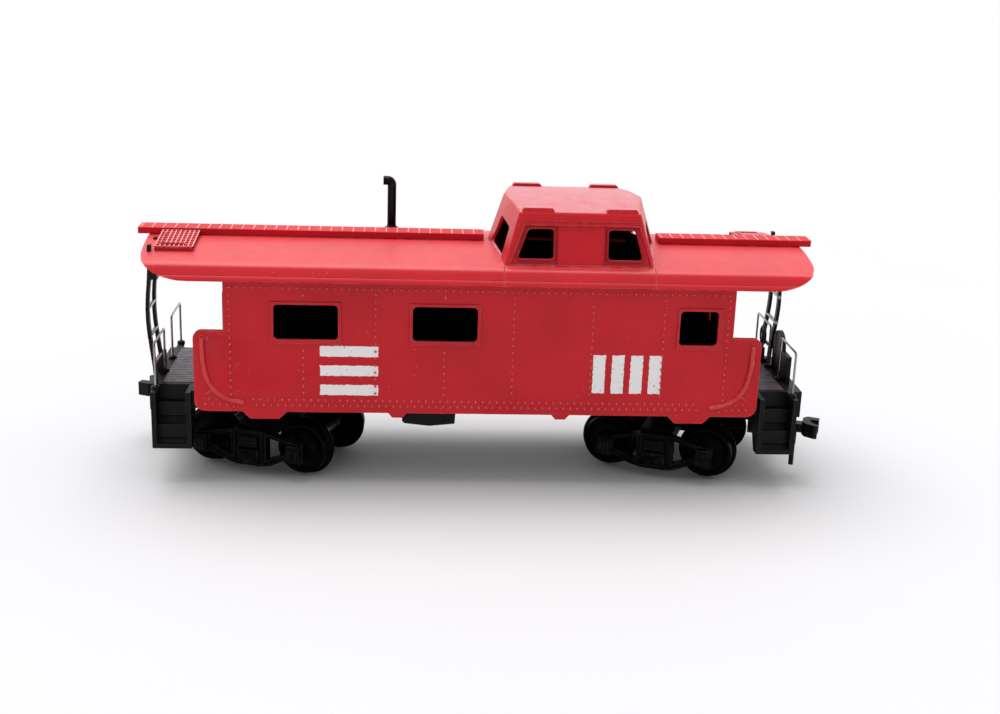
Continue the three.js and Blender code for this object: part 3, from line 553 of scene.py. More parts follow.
    def cad(self, node, bevel=0.0, keep=None):
        """A copy of a CAD node, flat areas merged and crisp edges softened. keep picks which edges."""
        source = bmesh.new()
        source.from_mesh(frame["nodes"][node].data)
        bmesh.ops.scale(source, vec=(1 / MM,) * 3, verts=source.verts)
        bmesh.ops.remove_doubles(source, verts=source.verts, dist=0.002)
        flat = {"angle_limit": math.radians(1.5), "use_dissolve_boundaries": False}
        bmesh.ops.dissolve_limit(source, verts=source.verts, edges=source.edges, **flat)
        if bevel:
            self._soften(source, bevel, keep)
        part = bpy.data.meshes.new("part")
        source.to_mesh(part)
        self.bm.from_mesh(part)
        source.free()
        bpy.data.meshes.remove(part)
        return self

    @staticmethod
    def _soften(source, width, wanted):
        crisp = [
            edge
            for edge in source.edges
            if edge.is_manifold
            and edge.calc_face_angle() > SHARP
            and edge.calc_length() > 2.2 * width
            and (wanted is None or wanted((edge.verts[0].co + edge.verts[1].co) / 2))
        ]
        bmesh.ops.bevel(
            source, geom=crisp, offset=width, segments=2, profile=0.6, affect="EDGES", clamp_overlap=True
        )

    def piece(self, name, body, slot, material, replaces=()):
        """Ends the form as a Blender object that rides on a body."""
        for face in self.bm.faces:
            face.smooth = True
        for edge in self.bm.edges:
            edge.smooth = not is_crease(edge)
        bmesh.ops.scale(self.bm, vec=(MM,) * 3, verts=self.bm.verts)
        mesh = bpy.data.meshes.new(name)
        self.bm.to_mesh(mesh)
        self.bm.free()
        mesh.materials.append(material)
        piece = bpy.data.objects.new(name, mesh)
        bpy.context.scene.collection.objects.link(piece)
        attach(piece, body)
        if replaces:
            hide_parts(*replaces)
        return piece


def rounded_outline(points, radius, steps=3):
    """The outline with each corner turned into an arc."""
    made = []
    count = len(points)
    for i, (x, z) in enumerate(points):
        here = Vector((x, z))
        before = (Vector(points[i - 1]) - here).normalized()
        after = (Vector(points[(i + 1) % count]) - here).normalized()
        for k in range(steps + 1):
            t = k / steps
            a, b = here + before * radius, here + after * radius
            made.append(tuple((1 - t) ** 2 * a + 2 * t * (1 - t) * here + t ** 2 * b))
    return made


def skin(node, name, body, slot, look, bevel=0.0, keep=None):
    """One CAD node as one piece, its edges softened."""
    Form().cad(node, bevel=bevel, keep=keep).piece(name, body, slot, look, [node])


# ---- body
def spots(start, end):
    """Rivet places from start to end, as near to the rivet spacing as fits."""
    count = max(1, round(abs(end - start) / PITCH))
    return [start + (end - start) * k / count for k in range(count + 1)]


# rivet columns of a side: X, lowest Z, highest Z
RIVET_COLUMNS = [
    (-45.65, 17.7, 38.05), (-32.4, 18.2, 26.3), (-32.4, 36.7, 36.8), (-19.3, 18.3, 37.1),
    (-6.7, 18.2, 26.3), (-6.7, 36.7, 36.8), (5.9, 18.6, 37.0), (20.45, 18.6, 36.9),
    (33.7, 18.4, 36.9), (45.65, 17.7, 37.1),
]
# rivet rows of a side: Z, lowest X, highest X
RIVET_ROWS = [(38.05, -45.5, 45.5), (16.8, -41.6, 40.2), (15.75, -41.0, 40.8)]
# rivets under a grab iron: distance from the car's middle, and Z
CORNER_RIVETS = [(49.6, 16.9), (48.3, 16.9), (50.3, 15.8), (49.0, 15.8), (47.7, 15.8), (46.4, 15.8)]
CORNER_RIVETS.append((45.1, 15.4))


def body_rivets():
    """Rivets on both sides, no two quite alike, and down the corners of the end walls."""
    form = Form()
    for side in (-1, 1):
        places = []
        for x, low, high in RIVET_COLUMNS:
            places += [(x, z) for z in spots(low, high)]
        for z, low, high in RIVET_ROWS:
            places += [(x, z) for x in spots(low, high)]
        places += [(sign * x, z) for sign in (-1, 1) for x, z in CORNER_RIVETS]
        for x, z in places:
            wobble = random.uniform(-0.02, 0.02)
            form.dome((x, side * SIDE_Y, z), (0, side, 0), 0.235 + wobble, 0.24)
        for end in (-1, 1):
            for y in (-12.8, 12.8):
                for z in spots(20.0, 38.0):
                    form.dome((end * HALF_BODY, y, z), (end, 0, 0), 0.25, 0.14)
    form.piece("body_rivets", "car", "red_plastic", RED_RAISED)


def grab_irons():
    """The curved irons of the side wings, over their moulded line."""
    form = Form()
    line = [(50.7, 28.5), (50.65, 26.3), (50.55, 24.0), (50.2, 21.9), (49.6, 19.9)]
    line += [(48.6, 18.4), (47.2, 17.3), (45.3, 16.55), (43.2, 16.2)]
    for side in (-1, 1):
        for end in (-1, 1):
            bar = [(end * x, side * (SIDE_Y + 0.16), z) for x, z in line]
            form.tube([(bar[0][0], side * (SIDE_Y - 0.2), bar[0][2])] + bar, 0.42, 12)
            stub = [(end * x, side * (SIDE_Y + 0.05), z) for x, z in ((48.9, 18.7), (50.3, 17.7))]
            form.tube(stub, 0.26, 8)
    form.piece("grab_irons", "car", "red_plastic", RED_IRON)


def body():
    """The body shell, softened everywhere but at its moulded grab irons, with its rivets and irons."""

    def soft(middle):
        in_irons = SIDE_Y + 0.02 < abs(middle.y) and abs(middle.x) > 41.0 and middle.z < 29.2
        return not in_irons

    skin("body_shell", "body_shell_skin", "car", "red_plastic", RED, bevel=0.13, keep=soft)
    body_rivets()
    grab_irons()


# ---- roof
HALF_WIDTH = ROOF_HIGH.y
ROOF_END = 61.2  # where the roof ends at its sides
ROOF_BOW = ROOF_HIGH.x - ROOF_END
SWEEP_X, SWEEP_Z = 8.6, 4.4  # the quarter oval cut off each lower corner, in side view
SQUARE_Y = 13.5  # the roof's ends are square up to here
SKIN = 1.1
HATCH = (5.4, 29.6, 13.6)  # low X, high X and half width of the opening under the cupola
SPAN = 54.0  # a station's share of this is its X
END_SHARE = 0.9  # from here on, stations follow the roof's ends


def roof_z(y):
    """The height of the roof's arch."""
    return CROWN - (CROWN - SHOULDER) * (y / SHOULDER_Y) ** 2


def roof_profile():
    """Half of the roof's outer line from the middle to the eave, as (y, z)."""
    line = [(HATCH[2] * k / 9, roof_z(HATCH[2] * k / 9)) for k in range(10)]
    line += [(y, roof_z(y)) for y in (14.9, 15.8, 16.5)]
    steep = [(1.9, 2.88), (1.55, 2.74), (1.25, 2.42), (0.98, 1.98), (0.72, 1.5), (0.56, 1.2)]
    groove = [(0.5, 1.08), (0.54, 1.0), (0.42, 0.9)]
    band = [(0.2, 0.6), (0.02, 0.25), (0.0, 0.1), (0.1, 0.0)]
    return line + [(HALF_WIDTH - a, EAVE + b) for a, b in steep + groove + band]


def roof_end_x(y, z):
    """How far the roof reaches in X at a point of its section, with its bowed end and upswept eaves."""
    bowed = ROOF_END + ROOF_BOW * (1 - (y / HALF_WIDTH) ** 2)
    rise = max(0.0, min(1.0, (z - EAVE) / SWEEP_Z))
    swept = ROOF_END - SWEEP_X + SWEEP_X * math.sqrt(1 - (1 - rise) ** 2)
    edge = max(0.0, min(1.0, (abs(y) - SQUARE_Y) / (SHOULDER_Y - SQUARE_Y)))
    return bowed + (min(bowed, swept) - bowed) * edge ** 2


def station_x(share, y, z):
    """The X of a point of the roof's section at a station."""
    if abs(share) < END_SHARE:
        return share * SPAN
    start = END_SHARE * SPAN
    reach = roof_end_x(min(abs(y), HALF_WIDTH), z)
    return math.copysign(1, share) * (start + (reach - start) * (abs(share) - END_SHARE) / (1 - END_SHARE))


def offset_inwards(line, distance):
    """The roof's section moved in by its thickness, and cut off level with the eave."""
    moved_in = []
    for i, (y, z) in enumerate(line):
        before = Vector(line[max(0, i - 1)])
        after = Vector(line[min(len(line) - 1, i + 1)])
        along = (after - before).normalized()
        moved_in.append((y + along.y * distance, max(z - along.x * distance, EAVE)))
    return moved_in


def roof():
    """The roof as a shell: rows of points across it at stations along X, an outer and an inner sheet."""
    form = Form()
    half = roof_profile()
    line = [(-y, z) for y, z in reversed(half[1:])] + half
    end_shares = [0.91, 0.955, 0.985, 1.0]
    hatch_shares = [HATCH[0] / SPAN, HATCH[1] / SPAN]
    shares = [-share for share in reversed(end_shares)] + [-0.7, -0.4, -0.1]
    shares += hatch_shares + [0.7] + end_shares
    out, inn = [
        [[form.bm.verts.new((station_x(share, y, z), y, z)) for y, z in points] for share in shares]
        for points in (line, offset_inwards(line, SKIN))
    ]
    faces = []

    def face(*corners):
        faces.append(form.bm.faces.new(corners))

    near = shares.index(hatch_shares[0])
    far = near + 1
    holes = [j for j in range(len(line) - 1) if abs(line[j][0] + line[j + 1][0]) / 2 < HATCH[2]]
    for rows in (out, inn):
        for i in range(len(rows) - 1):
            for j in range(len(line) - 1):
                if i != near or j not in holes:
                    face(rows[i][j], rows[i + 1][j], rows[i + 1][j + 1], rows[i][j + 1])
    for i in (0, len(shares) - 1):
        for j in range(len(line) - 1):
            face(out[i][j], out[i][j + 1], inn[i][j + 1], inn[i][j])
    for i in range(len(shares) - 1):
        for j in (0, len(line) - 1):
            face(out[i][j], out[i + 1][j], inn[i + 1][j], inn[i][j])
    for j in holes:
        for i in (near, far):
            face(out[i][j], out[i][j + 1], inn[i][j + 1], inn[i][j])
    for j in (holes[0], holes[-1] + 1):
        face(out[near][j], out[far][j], inn[far][j], inn[near][j])
    bmesh.ops.recalc_face_normals(form.bm, faces=faces)
    form.piece("roof_skin", "car", "red_plastic", RED_ROOF, ["roof"])
    seams()


def seams():
    """The moulding's raised seam lines, down from the cupola's corners to the eave."""
    form = Form()
    for side in (-1, 1):
        for x in (CUPOLA_X - 13.75, CUPOLA_X + 13.95):
            path = [(x, side * (y - 0.06), z) for y, z in roof_profile() if y > 15.5]
            form.tube(path, 0.08, 6)
    form.piece("roof_seams", "car", "red_plastic", RED_TRIM)


# ---- cupola
SIDE_LIGHTS = [
    [(-11.3, 43.9), (-4.8, 43.9), (-4.75, 49.2), (-9.4, 49.2)],
    [(5.3, 43.9), (11.6, 43.9), (10.2, 49.2), (5.3, 49.2)],
]
END_LIGHT = [(-2.9, 44.4), (-3.8, 49.7), (-11.0, 48.8), (-12.0, 43.5)]  # corners in Y and Z
SIDE_PANEL = [(-12.7, 42.9), (-10.1, 49.9), (10.9, 49.9), (13.3, 42.9)]
EDGE_STRIPS = [(-10.6, -4.8), (4.8, 10.6)]
STRIP_RISE = 0.72
PANEL_DEPTH = 0.3
CUPOLA_WALL = 1.1
LEDGE_Z = 50.58


def cupola_half_width(z):
    """How far a side face is from the car's middle at a height."""
    share = (CUPOLA_TOP - z) / (CUPOLA_TOP - CUPOLA_FOOT)
    return TOP_PLAN[1] + (FOOT_PLAN[1] - TOP_PLAN[1]) * share


def cupola_points(inset):
    """The corners of the cupola's form, shrunk on every side but its foot, which stands in the roof."""
    below = 0.6  # how far the form runs on under its foot
    points = []
    for across in (-1, -0.5, 0, 0.5, 1):
        prow = 1 - abs(across)
        crown = CUPOLA_TOP + (CUPOLA_CROWN - CUPOLA_TOP) * (1 - across ** 2) - inset
        for plan, z in ((TOP_PLAN, crown), (FOOT_PLAN, CUPOLA_FOOT - below)):
            reach = plan[0] + (plan[2] - plan[0]) * prow - inset
            y = across * (plan[1] - inset)
            points += [(CUPOLA_X + reach, y, z), (CUPOLA_X - reach, y, z)]
    return points


def moved(corners):
    """Corners given from the cupola's middle, in the row frame."""
    return [(CUPOLA_X + x, z) for x, z in corners]


def cupola():
    """The cupola's shell with a sunk panel in each side, its lights cut through and strips on its edges."""
    recess, strips, lights = [], [], []
    for side in (-1, 1):
        y0, y1 = span(side, 12.0, 19.0)
        panel = Form().prism(moved(SIDE_PANEL), "Y", y0, y1)
        recess.append(panel.carve([Form().hull(cupola_points(PANEL_DEPTH))]))
        for corners in SIDE_LIGHTS:
            lights.append(Form().prism(rounded_outline(moved(corners), 0.75, 5), "Y", y0, y1))
        for x0, x1 in EDGE_STRIPS:
            y0, y1 = span(side, 12.35, 13.8)
            top = CUPOLA_TOP + STRIP_RISE
            outline = [(x0, top - 1.1), (x0, top - 0.4), (x0 + 0.4, top)]
            outline += [(x1 - 0.4, top), (x1, top - 0.4), (x1, top - 1.1)]
            strips.append(Form().prism(moved(outline), "Y", y0, y1, bevel=0.1))
        outline = [(side * y, z) for y, z in END_LIGHT]
        lights.append(Form().prism(rounded_outline(outline, 0.75, 5), "X", CUPOLA_X - 18, CUPOLA_X + 18))
    form = Form().hull(cupola_points(0.0), bevel=0.45)
    form.carve([Form().hull(cupola_points(CUPOLA_WALL))] + recess + lights, strips)
    form.piece("cupola_skin", "car", "red_plastic", RED_LOOKOUT, ["cupola"])
    cupola_rims()


def cupola_rims():
    """The raised frames of the lights, the ledge over the sunk panel, and small ribs on the roof."""
    rims = Form()

    def on_face(side, sunk, x, z):
        return x, side * (cupola_half_width(z) - sunk), z

    for side in (-1, 1):
        for corners in SIDE_LIGHTS:
            middle = [sum(values) / 4 for values in zip(*corners)]
            grown = [[a + math.copysign(0.25, a - m) for a, m in zip(corner, middle)] for corner in corners]
            frame = rounded_outline(moved(grown), 0.8, 4)
            rims.tube([on_face(side, 0.28, x, z) for x, z in frame], 0.2, 8, closed=True)
        for x in (-4.15, 4.7):
            rims.tube([on_face(side, 0.32, CUPOLA_X + x, z) for z in (43.0, 46.5, 49.85)], 0.12, 6)
        rims.tube([on_face(side, 0.04, CUPOLA_X + x, LEDGE_Z) for x in (-10.2, 0.0, 10.9)], 0.13, 8)
        for x in (-11.0, 10.75):
            line = [(CUPOLA_X + x, side * y, CUPOLA_TOP + 0.03 * (14 - y)) for y in (12.2, 10.4)]
            rims.tube(line, 0.14, 6)
    rims.piece("cupola_rims", "car", "red_plastic", RED_TRIM)


# ---- running boards and roof steps
SLAT_PITCH = 2.08
STEP_TOP = (45.3, 44.2)  # a roof step's top at its inner and at its outer edge
GRID_WIRE = 0.22


def running_boards():
    for end in ("left", "right"):
        low, high = node_box(f"running_board_{end}")
        form = Form()
        form.box((low.x, low.y, low.z), (high.x, high.y, high.z - 0.06), bevel=0.14)
        start, stop = max(low.x, -ROOF_END), min(high.x, ROOF_END)
        form.box((start, low.y + 0.05, low.z - 0.6), (stop, high.y - 0.05, low.z + 0.1))
        form.piece(f"running_board_{end}_base", "car", "red_plastic", RED_BOARD, [f"running_board_{end}"])
        slats = Form()
        count = math.floor((high.x - low.x - 0.3) / SLAT_PITCH)
        for k in range(count + 1):
            x = low.x + 0.45 + SLAT_PITCH * k
            slats.box((x, low.y + 0.1, high.z - 0.25), (x + 0.2, high.y - 0.1, high.z), bevel=0.05)
        slats.piece(f"running_board_{end}_slats", "car", "red_plastic", RED_SLAT)


def roof_steps():
    for end in ("left", "right"):
        low, high = node_box(f"roof_step_{end}")
        side = -1 if end == "left" else 1
        inner, outer = (high.y, low.y) if end == "left" else (low.y, high.y)
        inner_z, outer_z = STEP_TOP

        def top(y):
            return outer_z + (inner_z - outer_z) * abs(y - outer) / abs(inner - outer)

        form = Form()
        foot = [(y, roof_z(y) + 0.05) for y in (inner + (outer - inner) * k / 6 for k in range(7))]
        form.prism(foot + [(outer, outer_z - 0.2), (inner, inner_z - 0.2)], "X", low.x, high.x)
        form.piece(f"roof_step_{end}_base", "car", "red_plastic", RED_GRID, [f"roof_step_{end}"])
        bars = Form()
        for k in range(9):
            x = low.x + (high.x - low.x - GRID_WIRE) * k / 8
            outline = [(y, top(y) - 0.4) for y in (inner, outer)] + [(y, top(y)) for y in (outer, inner)]
            bars.prism(outline, "X", x, x + GRID_WIRE)
        edge = side * GRID_WIRE / 2
        for k in range(8):
            y = inner + edge + (outer - inner - 2 * edge) * k / 7
            bars.box((low.x, y - GRID_WIRE / 2, top(y) - 0.4), (high.x, y + GRID_WIRE / 2, top(y) - 0.02))
        grab_y = outer - side * 1.3
        hook = [(low.x + 0.9, grab_y - side * 6.4), (low.x + 0.9, grab_y), (high.x - 1.6, grab_y)]
        bars.tube([(x, y, top(y) + 0.12) for x, y in hook], 0.12, 8)
        bars.piece(f"roof_step_{end}_grid", "car", "red_plastic", RED_RAISED)


def smokestack():
    low, high = node_box("smokestack")
    x, y, radius, flange = -16.9, 7.0, 0.85, 1.5
    foot = low.z
    form = Form()
    up = Matrix.Translation((x, y, 0))
    elbow = high.z - 1.6
    collar = [(flange, foot), (flange, foot + 0.35), (flange - 0.2, foot + 0.6)]
    pipe = [(radius + 0.1, foot + 0.75), (radius, foot + 1.2), (radius, elbow)]
    form.turned([(0, foot)] + collar + pipe + [(0, elbow)], up, 28)
    bend = []
    for k in range(7):
        t = math.radians(15 * k)
        bend.append((x - 0.75 * (1 - math.cos(t)), y, high.z - 1.85 + 0.95 * math.sin(t)))
    bend.append((low.x + 0.02, y, high.z - 0.9))
    form.tube(bend, 0.88, 20)
    form.piece("smokestack_pipe", "car", "black_plastic", GLOSS_BLACK, ["smokestack"])


# ---- underframe and platforms
DECK_START, DECK_STOP = 46.9, 59.0
PLANK_PITCH = 1.1
PLANK = 0.47  # half of a plank's width
RAIL_FEET = [(sign * 59.6, y) for sign in (-1, 1) for y in (-14.8, -4.3, 4.3, 14.8)]


def platforms():
    skin("underframe", "underframe_skin", "car", "black_plastic", BLACK, bevel=0.12)
    planks = Form()
    for end in (-1, 1):
        for k in range(-10, 10):
            x0, x1 = span(end, DECK_START, DECK_STOP)
            y = (k + 0.5) * PLANK_PITCH
            planks.box((x0, y - PLANK, DECK_TOP - 0.1), (x1, y + PLANK, DECK_TOP + 0.1), bevel=0.06)
    planks.piece("deck_planks", "car", "black_plastic", DECK)
    collars = Form()
    collar = [(0, -0.6), (0.55, -0.6), (0.78, 0.02), (0.82, 0.25), (0.66, 0.52), (0.36, 0.66), (0, 0.68)]
    for x, y in RAIL_FEET:
        collars.turned(collar, Matrix.Translation((x, y, DECK_TOP)), 20)
    collars.piece("rail_collars", "car", "black_plastic", BLACK)
    skin("weight_plate", "weight_bar", "car", "steel", STEEL, bevel=0.2)


# ---- rails, ladders, brake and gate
def handrails():
    """Each hoop follows its CAD node's box: up from the deck, across, and down again."""
    radius, corner = 0.22, 0.5
    for name in ("left_near", "left_far", "right_near", "right_far"):
        low, high = node_box(f"handrail_{name}")
        x, foot, top = (low.x + high.x) / 2, low.z, high.z - radius
        y0, y1 = low.y + radius, high.y - radius
        bend = [(corner * (1 - math.cos(t)), top - corner * (1 - math.sin(t))) for t in (0.5, 1.05)]
        path = [(x, y0, foot), (x, y0, top - corner)] + [(x, y0 + step, z) for step, z in bend]
        path += [(x, y0 + corner, top), (x, y1 - corner, top)]
        path += [(x, y1 - step, z) for step, z in reversed(bend)]
        path += [(x, y1, top - corner), (x, y1, foot)]
        Form().tube(path, radius, 12).piece(
            f"handrail_{name}_wire", "car", "rail_wire", WIRE, [f"handrail_{name}"]
        )


LADDER_RUNGS = [22.0, 27.2, 32.4, 37.6]
LADDER_BOW = [(18.05, 59.9), (22.0, 60.15), (27.2, 60.76), (32.4, 60.98), (37.6, 60.62), (44.4, 60.3)]


def ladder_x(z):
    """How far a ladder stands from the car's middle at a height."""
    for (z0, x0), (z1, x1) in zip(LADDER_BOW, LADDER_BOW[1:]):
        if z <= z1:
            return x0 + (x1 - x0) * (z - z0) / (z1 - z0)
    return LADDER_BOW[-1][1]


def ladders():
    for name, side in (("left", -1), ("right", 1)):
        node = f"end_ladder_{name}"
        skin(node, f"{node}_stiles", "car", "black_plastic", BLACK)
        low, high = node_box(node)
        rungs = Form()
        for z in LADDER_RUNGS:
            x = side * ladder_x(z)
            rungs.tube([(x, low.y + 0.05, z), (x, high.y - 0.05, z)], 0.36, 12)
        rungs.piece(f"{node}_rungs", "car", "rail_wire", WIRE)


def brake():
    skin("brake_stand", "brake_stand_skin", "car", "black_plastic", BLACK, bevel=0.15)
    low, high = node_box("brake_wheel")
    radius = (high.y - low.y) / 2
    x, y, z = (low.x + high.x) / 2, (low.y + high.y) / 2, high.z - radius
    form = Form()
    rim = [2 * math.pi * k / 40 for k in range(40)]
    ring = radius - 0.24
    form.tube([(x, y + ring * math.cos(t), z + ring * math.sin(t)) for t in rim], 0.24, 12, closed=True)
    for k in range(5):
        t = 2 * math.pi * k / 5 + 0.3
        spoke = []
        for share in (0.0, 0.35, 0.7, 1.0):
            bend = t + 0.35 * share * (1 - share)
            reach = ring * share
            spoke.append((x + 0.12 * share, y + reach * math.cos(bend), z + reach * math.sin(bend)))
        form.tube(spoke, 0.15, 8)
    hub = [(0, -0.32), (0.5, -0.32), (0.55, -0.2), (0.55, 0.2), (0.4, 0.34), (0, 0.36)]
    form.turned(hub, Matrix.Translation((x, y, z)) @ Matrix.Rotation(math.radians(90), 4, "Y"), 20)
    form.tube([(x, y, low.z), (x, y, z)], 0.3, 12)
    form.piece("brake_wheel_spoked", "car", "black_plastic", BLACK, ["brake_wheel"])


def gate():
    skin("end_gate", "end_gate_skin", "car", "black_plastic", BLACK, bevel=0.14)


# ---- trucks
WHEELBASE = 19.3
AXLE_Z = 5.65
SIDE_FACE = 12.6  # outer face of a truck's side frame, from its middle
BOX_FACE = 13.9
FRAME_LINE = [(2.6, 2.2), (4.6, 2.7), (8.15, 4.4), (11.05, 4.1), (11.05, 7.3), (8.65, 7.6), (3.0, 8.9)]
FRAME_GAP = [(3.45, 3.15), (3.45, 8.3), (8.3, 7.2), (8.3, 5.1)]


def truck_place(name):
    """The truck's own frame: its origin over the kingpin, +X towards its coupler."""
    swivel = JOINTS[f"truck_{name}_swivel"]
    spin = Vector(JOINTS[f"wheelset_{name}_outer_spin"]["axis"])
    yaw = math.atan2(-spin.x, spin.y) + (math.pi if name == "left" else 0.0)
    x, y, _ = (c / MM for c in swivel["pos_m"])
    return Matrix.Translation((x, y, 0)) @ Matrix.Rotation(yaw, 4, "Z")


def ribs(form, points, width, face, proud, side, closed=True):
    """Flanges standing on a side frame's face along a line of (x, z) points."""
    count = len(points)
    for i in range(count if closed else count - 1):
        a, b = Vector(points[i]), Vector(points[(i + 1) % count])
        along = (b - a).normalized()
        across = Vector((-along.y, along.x)) * width / 2
        a, b = a - along * width * 0.35, b + along * width * 0.35
        outline = [tuple(p) for p in (a - across, b - across, b + across, a + across)]
        y0, y1 = span(side, face - 0.15, face + proud)
        form.prism(outline, "Y", y0, y1, bevel=0.07)


def coil(form, x, y, low, high, radius, wire, turns):
    """A spring standing on low."""
    sides = 12
    steps = turns * sides
    path = []
    for k in range(steps + 1):
        t = 2 * math.pi * k / sides
        path.append((x + radius * math.cos(t), y + radius * math.sin(t), low + (high - low) * k / steps))
    form.tube(path, wire, 6)


def truck_fittings(name, place):
    """What stands on a truck's side frames: flanges, springs, journal boxes and the bolster's ends."""
    form = Form(place)
    for side in (-1, 1):
        mirrored = [(-x, z) for x, z in reversed(FRAME_LINE)]
        ribs(form, FRAME_LINE + mirrored, 0.34, SIDE_FACE, 0.42, side)
        for hand in (-1, 1):
            ribs(form, [(hand * x, z) for x, z in FRAME_GAP], 0.22, SIDE_FACE, 0.25, side)
            ribs(form, [(hand * 2.75, 2.7), (hand * 2.75, 8.6)], 0.45, SIDE_FACE, 0.42, side, closed=False)
            coil(form, hand * 1.15, side * 12.75, 3.0, 5.15, 0.72, 0.2, 5)
            x = hand * WHEELBASE / 2
            y0, y1 = span(side, BOX_FACE - 0.2, BOX_FACE + 0.25)
            form.box((x - 1.15, y0, 4.35), (x + 1.15, y1, 6.75), bevel=0.14)
            form.tube([(x - 0.8, side * BOX_FACE, 7.0), (x + 0.8, side * BOX_FACE, 7.0)], 0.32, 10)
            for rib in (-0.7, 0.0, 0.7):
                y0, y1 = span(side, BOX_FACE, BOX_FACE + 0.42)
                form.box((x + rib - 0.13, y0, 4.6), (x + rib + 0.13, y1, 6.4), bevel=0.05)
        coil(form, 0.0, side * 13.0, 3.0, 5.15, 0.72, 0.2, 5)
        y0, y1 = span(side, SIDE_FACE - 0.1, 13.75)
        form.box((-2.35, y0, 2.72), (2.35, y1, 3.05), bevel=0.08)
        form.box((-2.1, y0, 5.1), (2.1, y1, 5.42), bevel=0.08)
        y0, y1 = span(side, SIDE_FACE - 0.1, 13.15)
        form.box((-1.95, y0, 5.6), (1.95, y1, 7.9), bevel=0.12)
        for z in (6.1, 6.75, 7.4):
            y0, y1 = span(side, 13.0, 13.4)
            form.box((-1.7, y0, z - 0.13), (1.7, y1, z + 0.13), bevel=0.05)
    form.piece(f"truck_{name}_fittings", f"truck_{name}", "black_plastic", TRUCK)


# a wheel's section, (radius, distance from the car's middle), and the axle under it
WHEEL_LINE = [
    (0.78, 7.15), (5.35, 7.15), (5.6, 7.25), (5.65, 7.5), (5.5, 7.8), (5.08, 8.0),
    (4.9, 8.15), (4.82, 9.85), (4.7, 9.98), (4.2, 10.0), (4.02, 9.86), (3.85, 9.4),
    (3.3, 9.25), (2.3, 9.3), (1.95, 9.5), (1.7, 9.95), (1.5, 10.0), (0.78, 10.0),
]
AXLE_LINE = [(0, -12.45), (0.45, -12.3), (0.75, -12.0), (0.75, 12.0), (0.45, 12.3), (0, 12.45)]


def wheelset(name, place, where):
    shift = (1 if where == "outer" else -1) * WHEELBASE / 2
    hub = place @ Matrix.Translation((shift, 0, AXLE_Z))
    turn = Matrix.Rotation(math.radians(-90), 4, "X")
    body = f"wheelset_{name}_{where}"
    wheels = Form()
    for side in (-1, 1):
        wheels.turned([(r, side * y) for r, y in WHEEL_LINE], hub @ turn, 56)
    nodes = [f"wheel_{name}_{where}_{hand}" for hand in "ab"]
    wheels.piece(f"wheels_{name}_{where}", body, "wheel_plastic", WHEEL, nodes)
    Form().turned(AXLE_LINE, hub @ turn, 28).piece(
        f"axle_{name}_{where}_bar", body, "steel", STEEL, [f"axle_{name}_{where}"]
    )


def trucks():
    for name in ("left", "right"):
        place = truck_place(name)
        kinds = ("truck_frame", "coupler_lid", "coupler", "kingpin")
        frame, lid, coupler, pin = (f"{kind}_{name}" for kind in kinds)
        skin(frame, f"{frame}_skin", f"truck_{name}", "black_plastic", TRUCK, bevel=0.1)
        truck_fittings(name, place)
        skin(lid, f"{lid}_skin", f"truck_{name}", "black_plastic", BLACK, bevel=0.12)
        skin(coupler, f"{coupler}_skin", f"coupler_body_{name}", "black_plastic", BLACK, bevel=0.12)
        for where in ("outer", "inner"):
            wheelset(name, place, where)
        skin(pin, f"{pin}_pin", "car", "steel", STEEL, bevel=0.1)


# ---- floor, light and camera
def floor():
    bpy.ops.mesh.primitive_plane_add(size=14.0, location=(0, 3.0, 0))
    ground = bpy.context.object
    ground.name = "floor"
    ground.data.materials.append(painted_floor("floor_paint"))


def sun(strength, spread, towards):
    """A wide, soft light that is as strong everywhere on the floor."""
    light = bpy.data.lights.new("overhead", "SUN")
    light.energy = strength
    light.angle = math.radians(spread)
    lamp = bpy.data.objects.new("overhead", light)
    lamp.rotation_euler = Vector(towards).to_track_quat("-Z", "Y").to_euler()
    bpy.context.scene.collection.objects.link(lamp)


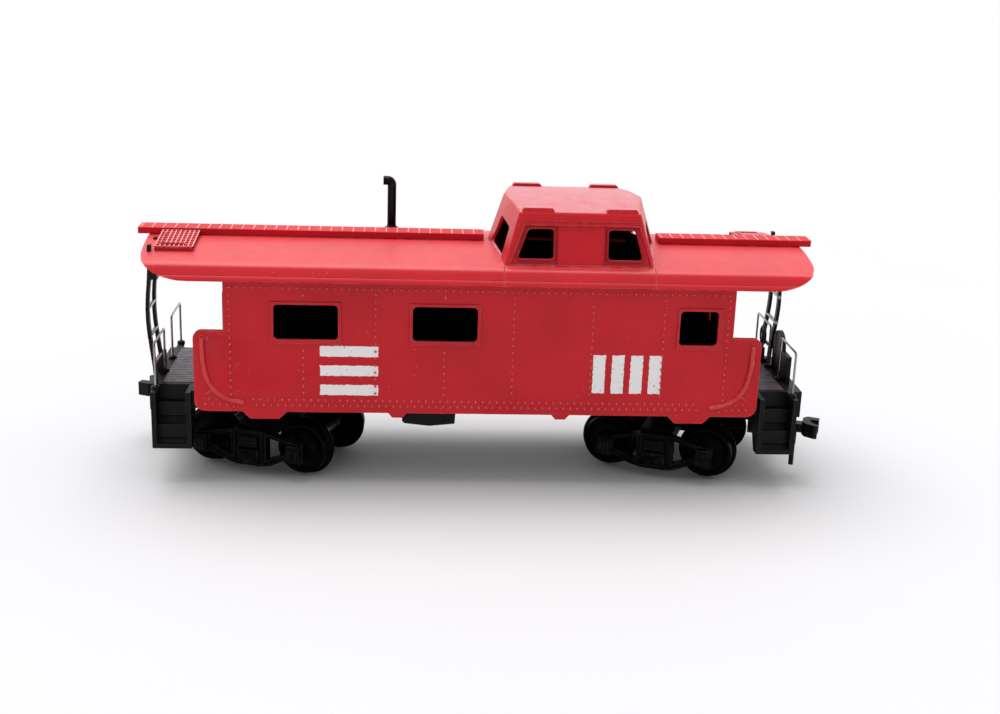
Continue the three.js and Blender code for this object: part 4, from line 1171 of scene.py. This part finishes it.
def sky(front, back, top):
    """The studio around: how bright it is before the car, behind it and overhead."""
    world = bpy.data.worlds.new("studio")
    bpy.context.scene.world = world
    world.use_nodes = True
    tree = world.node_tree

    def ramp(value, low, high, start, end):
        node = tree.nodes.new("ShaderNodeMapRange")
        node.interpolation_type = "SMOOTHSTEP"
        given = {"Value": value, "From Min": low, "From Max": high, "To Min": start, "To Max": end}
        for key, level in given.items():
            if isinstance(level, bpy.types.NodeSocket):
                tree.links.new(level, node.inputs[key])
            else:
                node.inputs[key].default_value = level
        return node.outputs["Result"]

    way = tree.nodes.new("ShaderNodeSeparateXYZ")
    tree.links.new(tree.nodes.new("ShaderNodeTexCoord").outputs["Generated"], way.inputs[0])
    around = ramp(way.outputs["Y"], -0.6, 0.3, front, back)
    background = tree.nodes["Background"]
    background.inputs["Color"].default_value = (1.0, 0.995, 1.0, 1.0)
    tree.links.new(ramp(way.outputs["Z"], 0.45, 0.95, around, top), background.inputs["Strength"])


def camera():
    """The camera stands before the near side, a little to the left, and looks down and to the right."""
    yaw, pitch, roll = math.radians(4.12), math.radians(16.73), math.radians(2.03)
    ahead = Vector((math.sin(yaw) * math.cos(pitch), math.cos(yaw) * math.cos(pitch), -math.sin(pitch)))
    right = Vector((math.cos(yaw), -math.sin(yaw), 0))
    up = right.cross(ahead)
    turned_right = math.cos(roll) * right + math.sin(roll) * up
    turned_up = -math.sin(roll) * right + math.cos(roll) * up
    lens = bpy.data.cameras.new("camera")
    lens.lens, lens.sensor_width = 49.82, 36.0
    lens.clip_start, lens.clip_end = 0.01, 50.0
    eye = bpy.data.objects.new("camera", lens)
    eye.matrix_world = (
        Matrix.Translation((-0.013986, -0.260463, 0.099045))
        @ Matrix((turned_right, turned_up, -ahead)).transposed().to_4x4()
    )
    bpy.context.scene.collection.objects.link(eye)
    bpy.context.scene.camera = eye


camera()
body()
roof()
cupola()
running_boards()
roof_steps()
smokestack()
platforms()
handrails()
ladders()
brake()
gate()
trucks()
floor()
sky(0.62, 1.05, 1.0)
sun(2.8, 58, (0.14, -0.24, -1.0))
bpy.context.scene.view_settings.view_transform = "Standard"
bpy.context.scene.view_settings.look = "None"
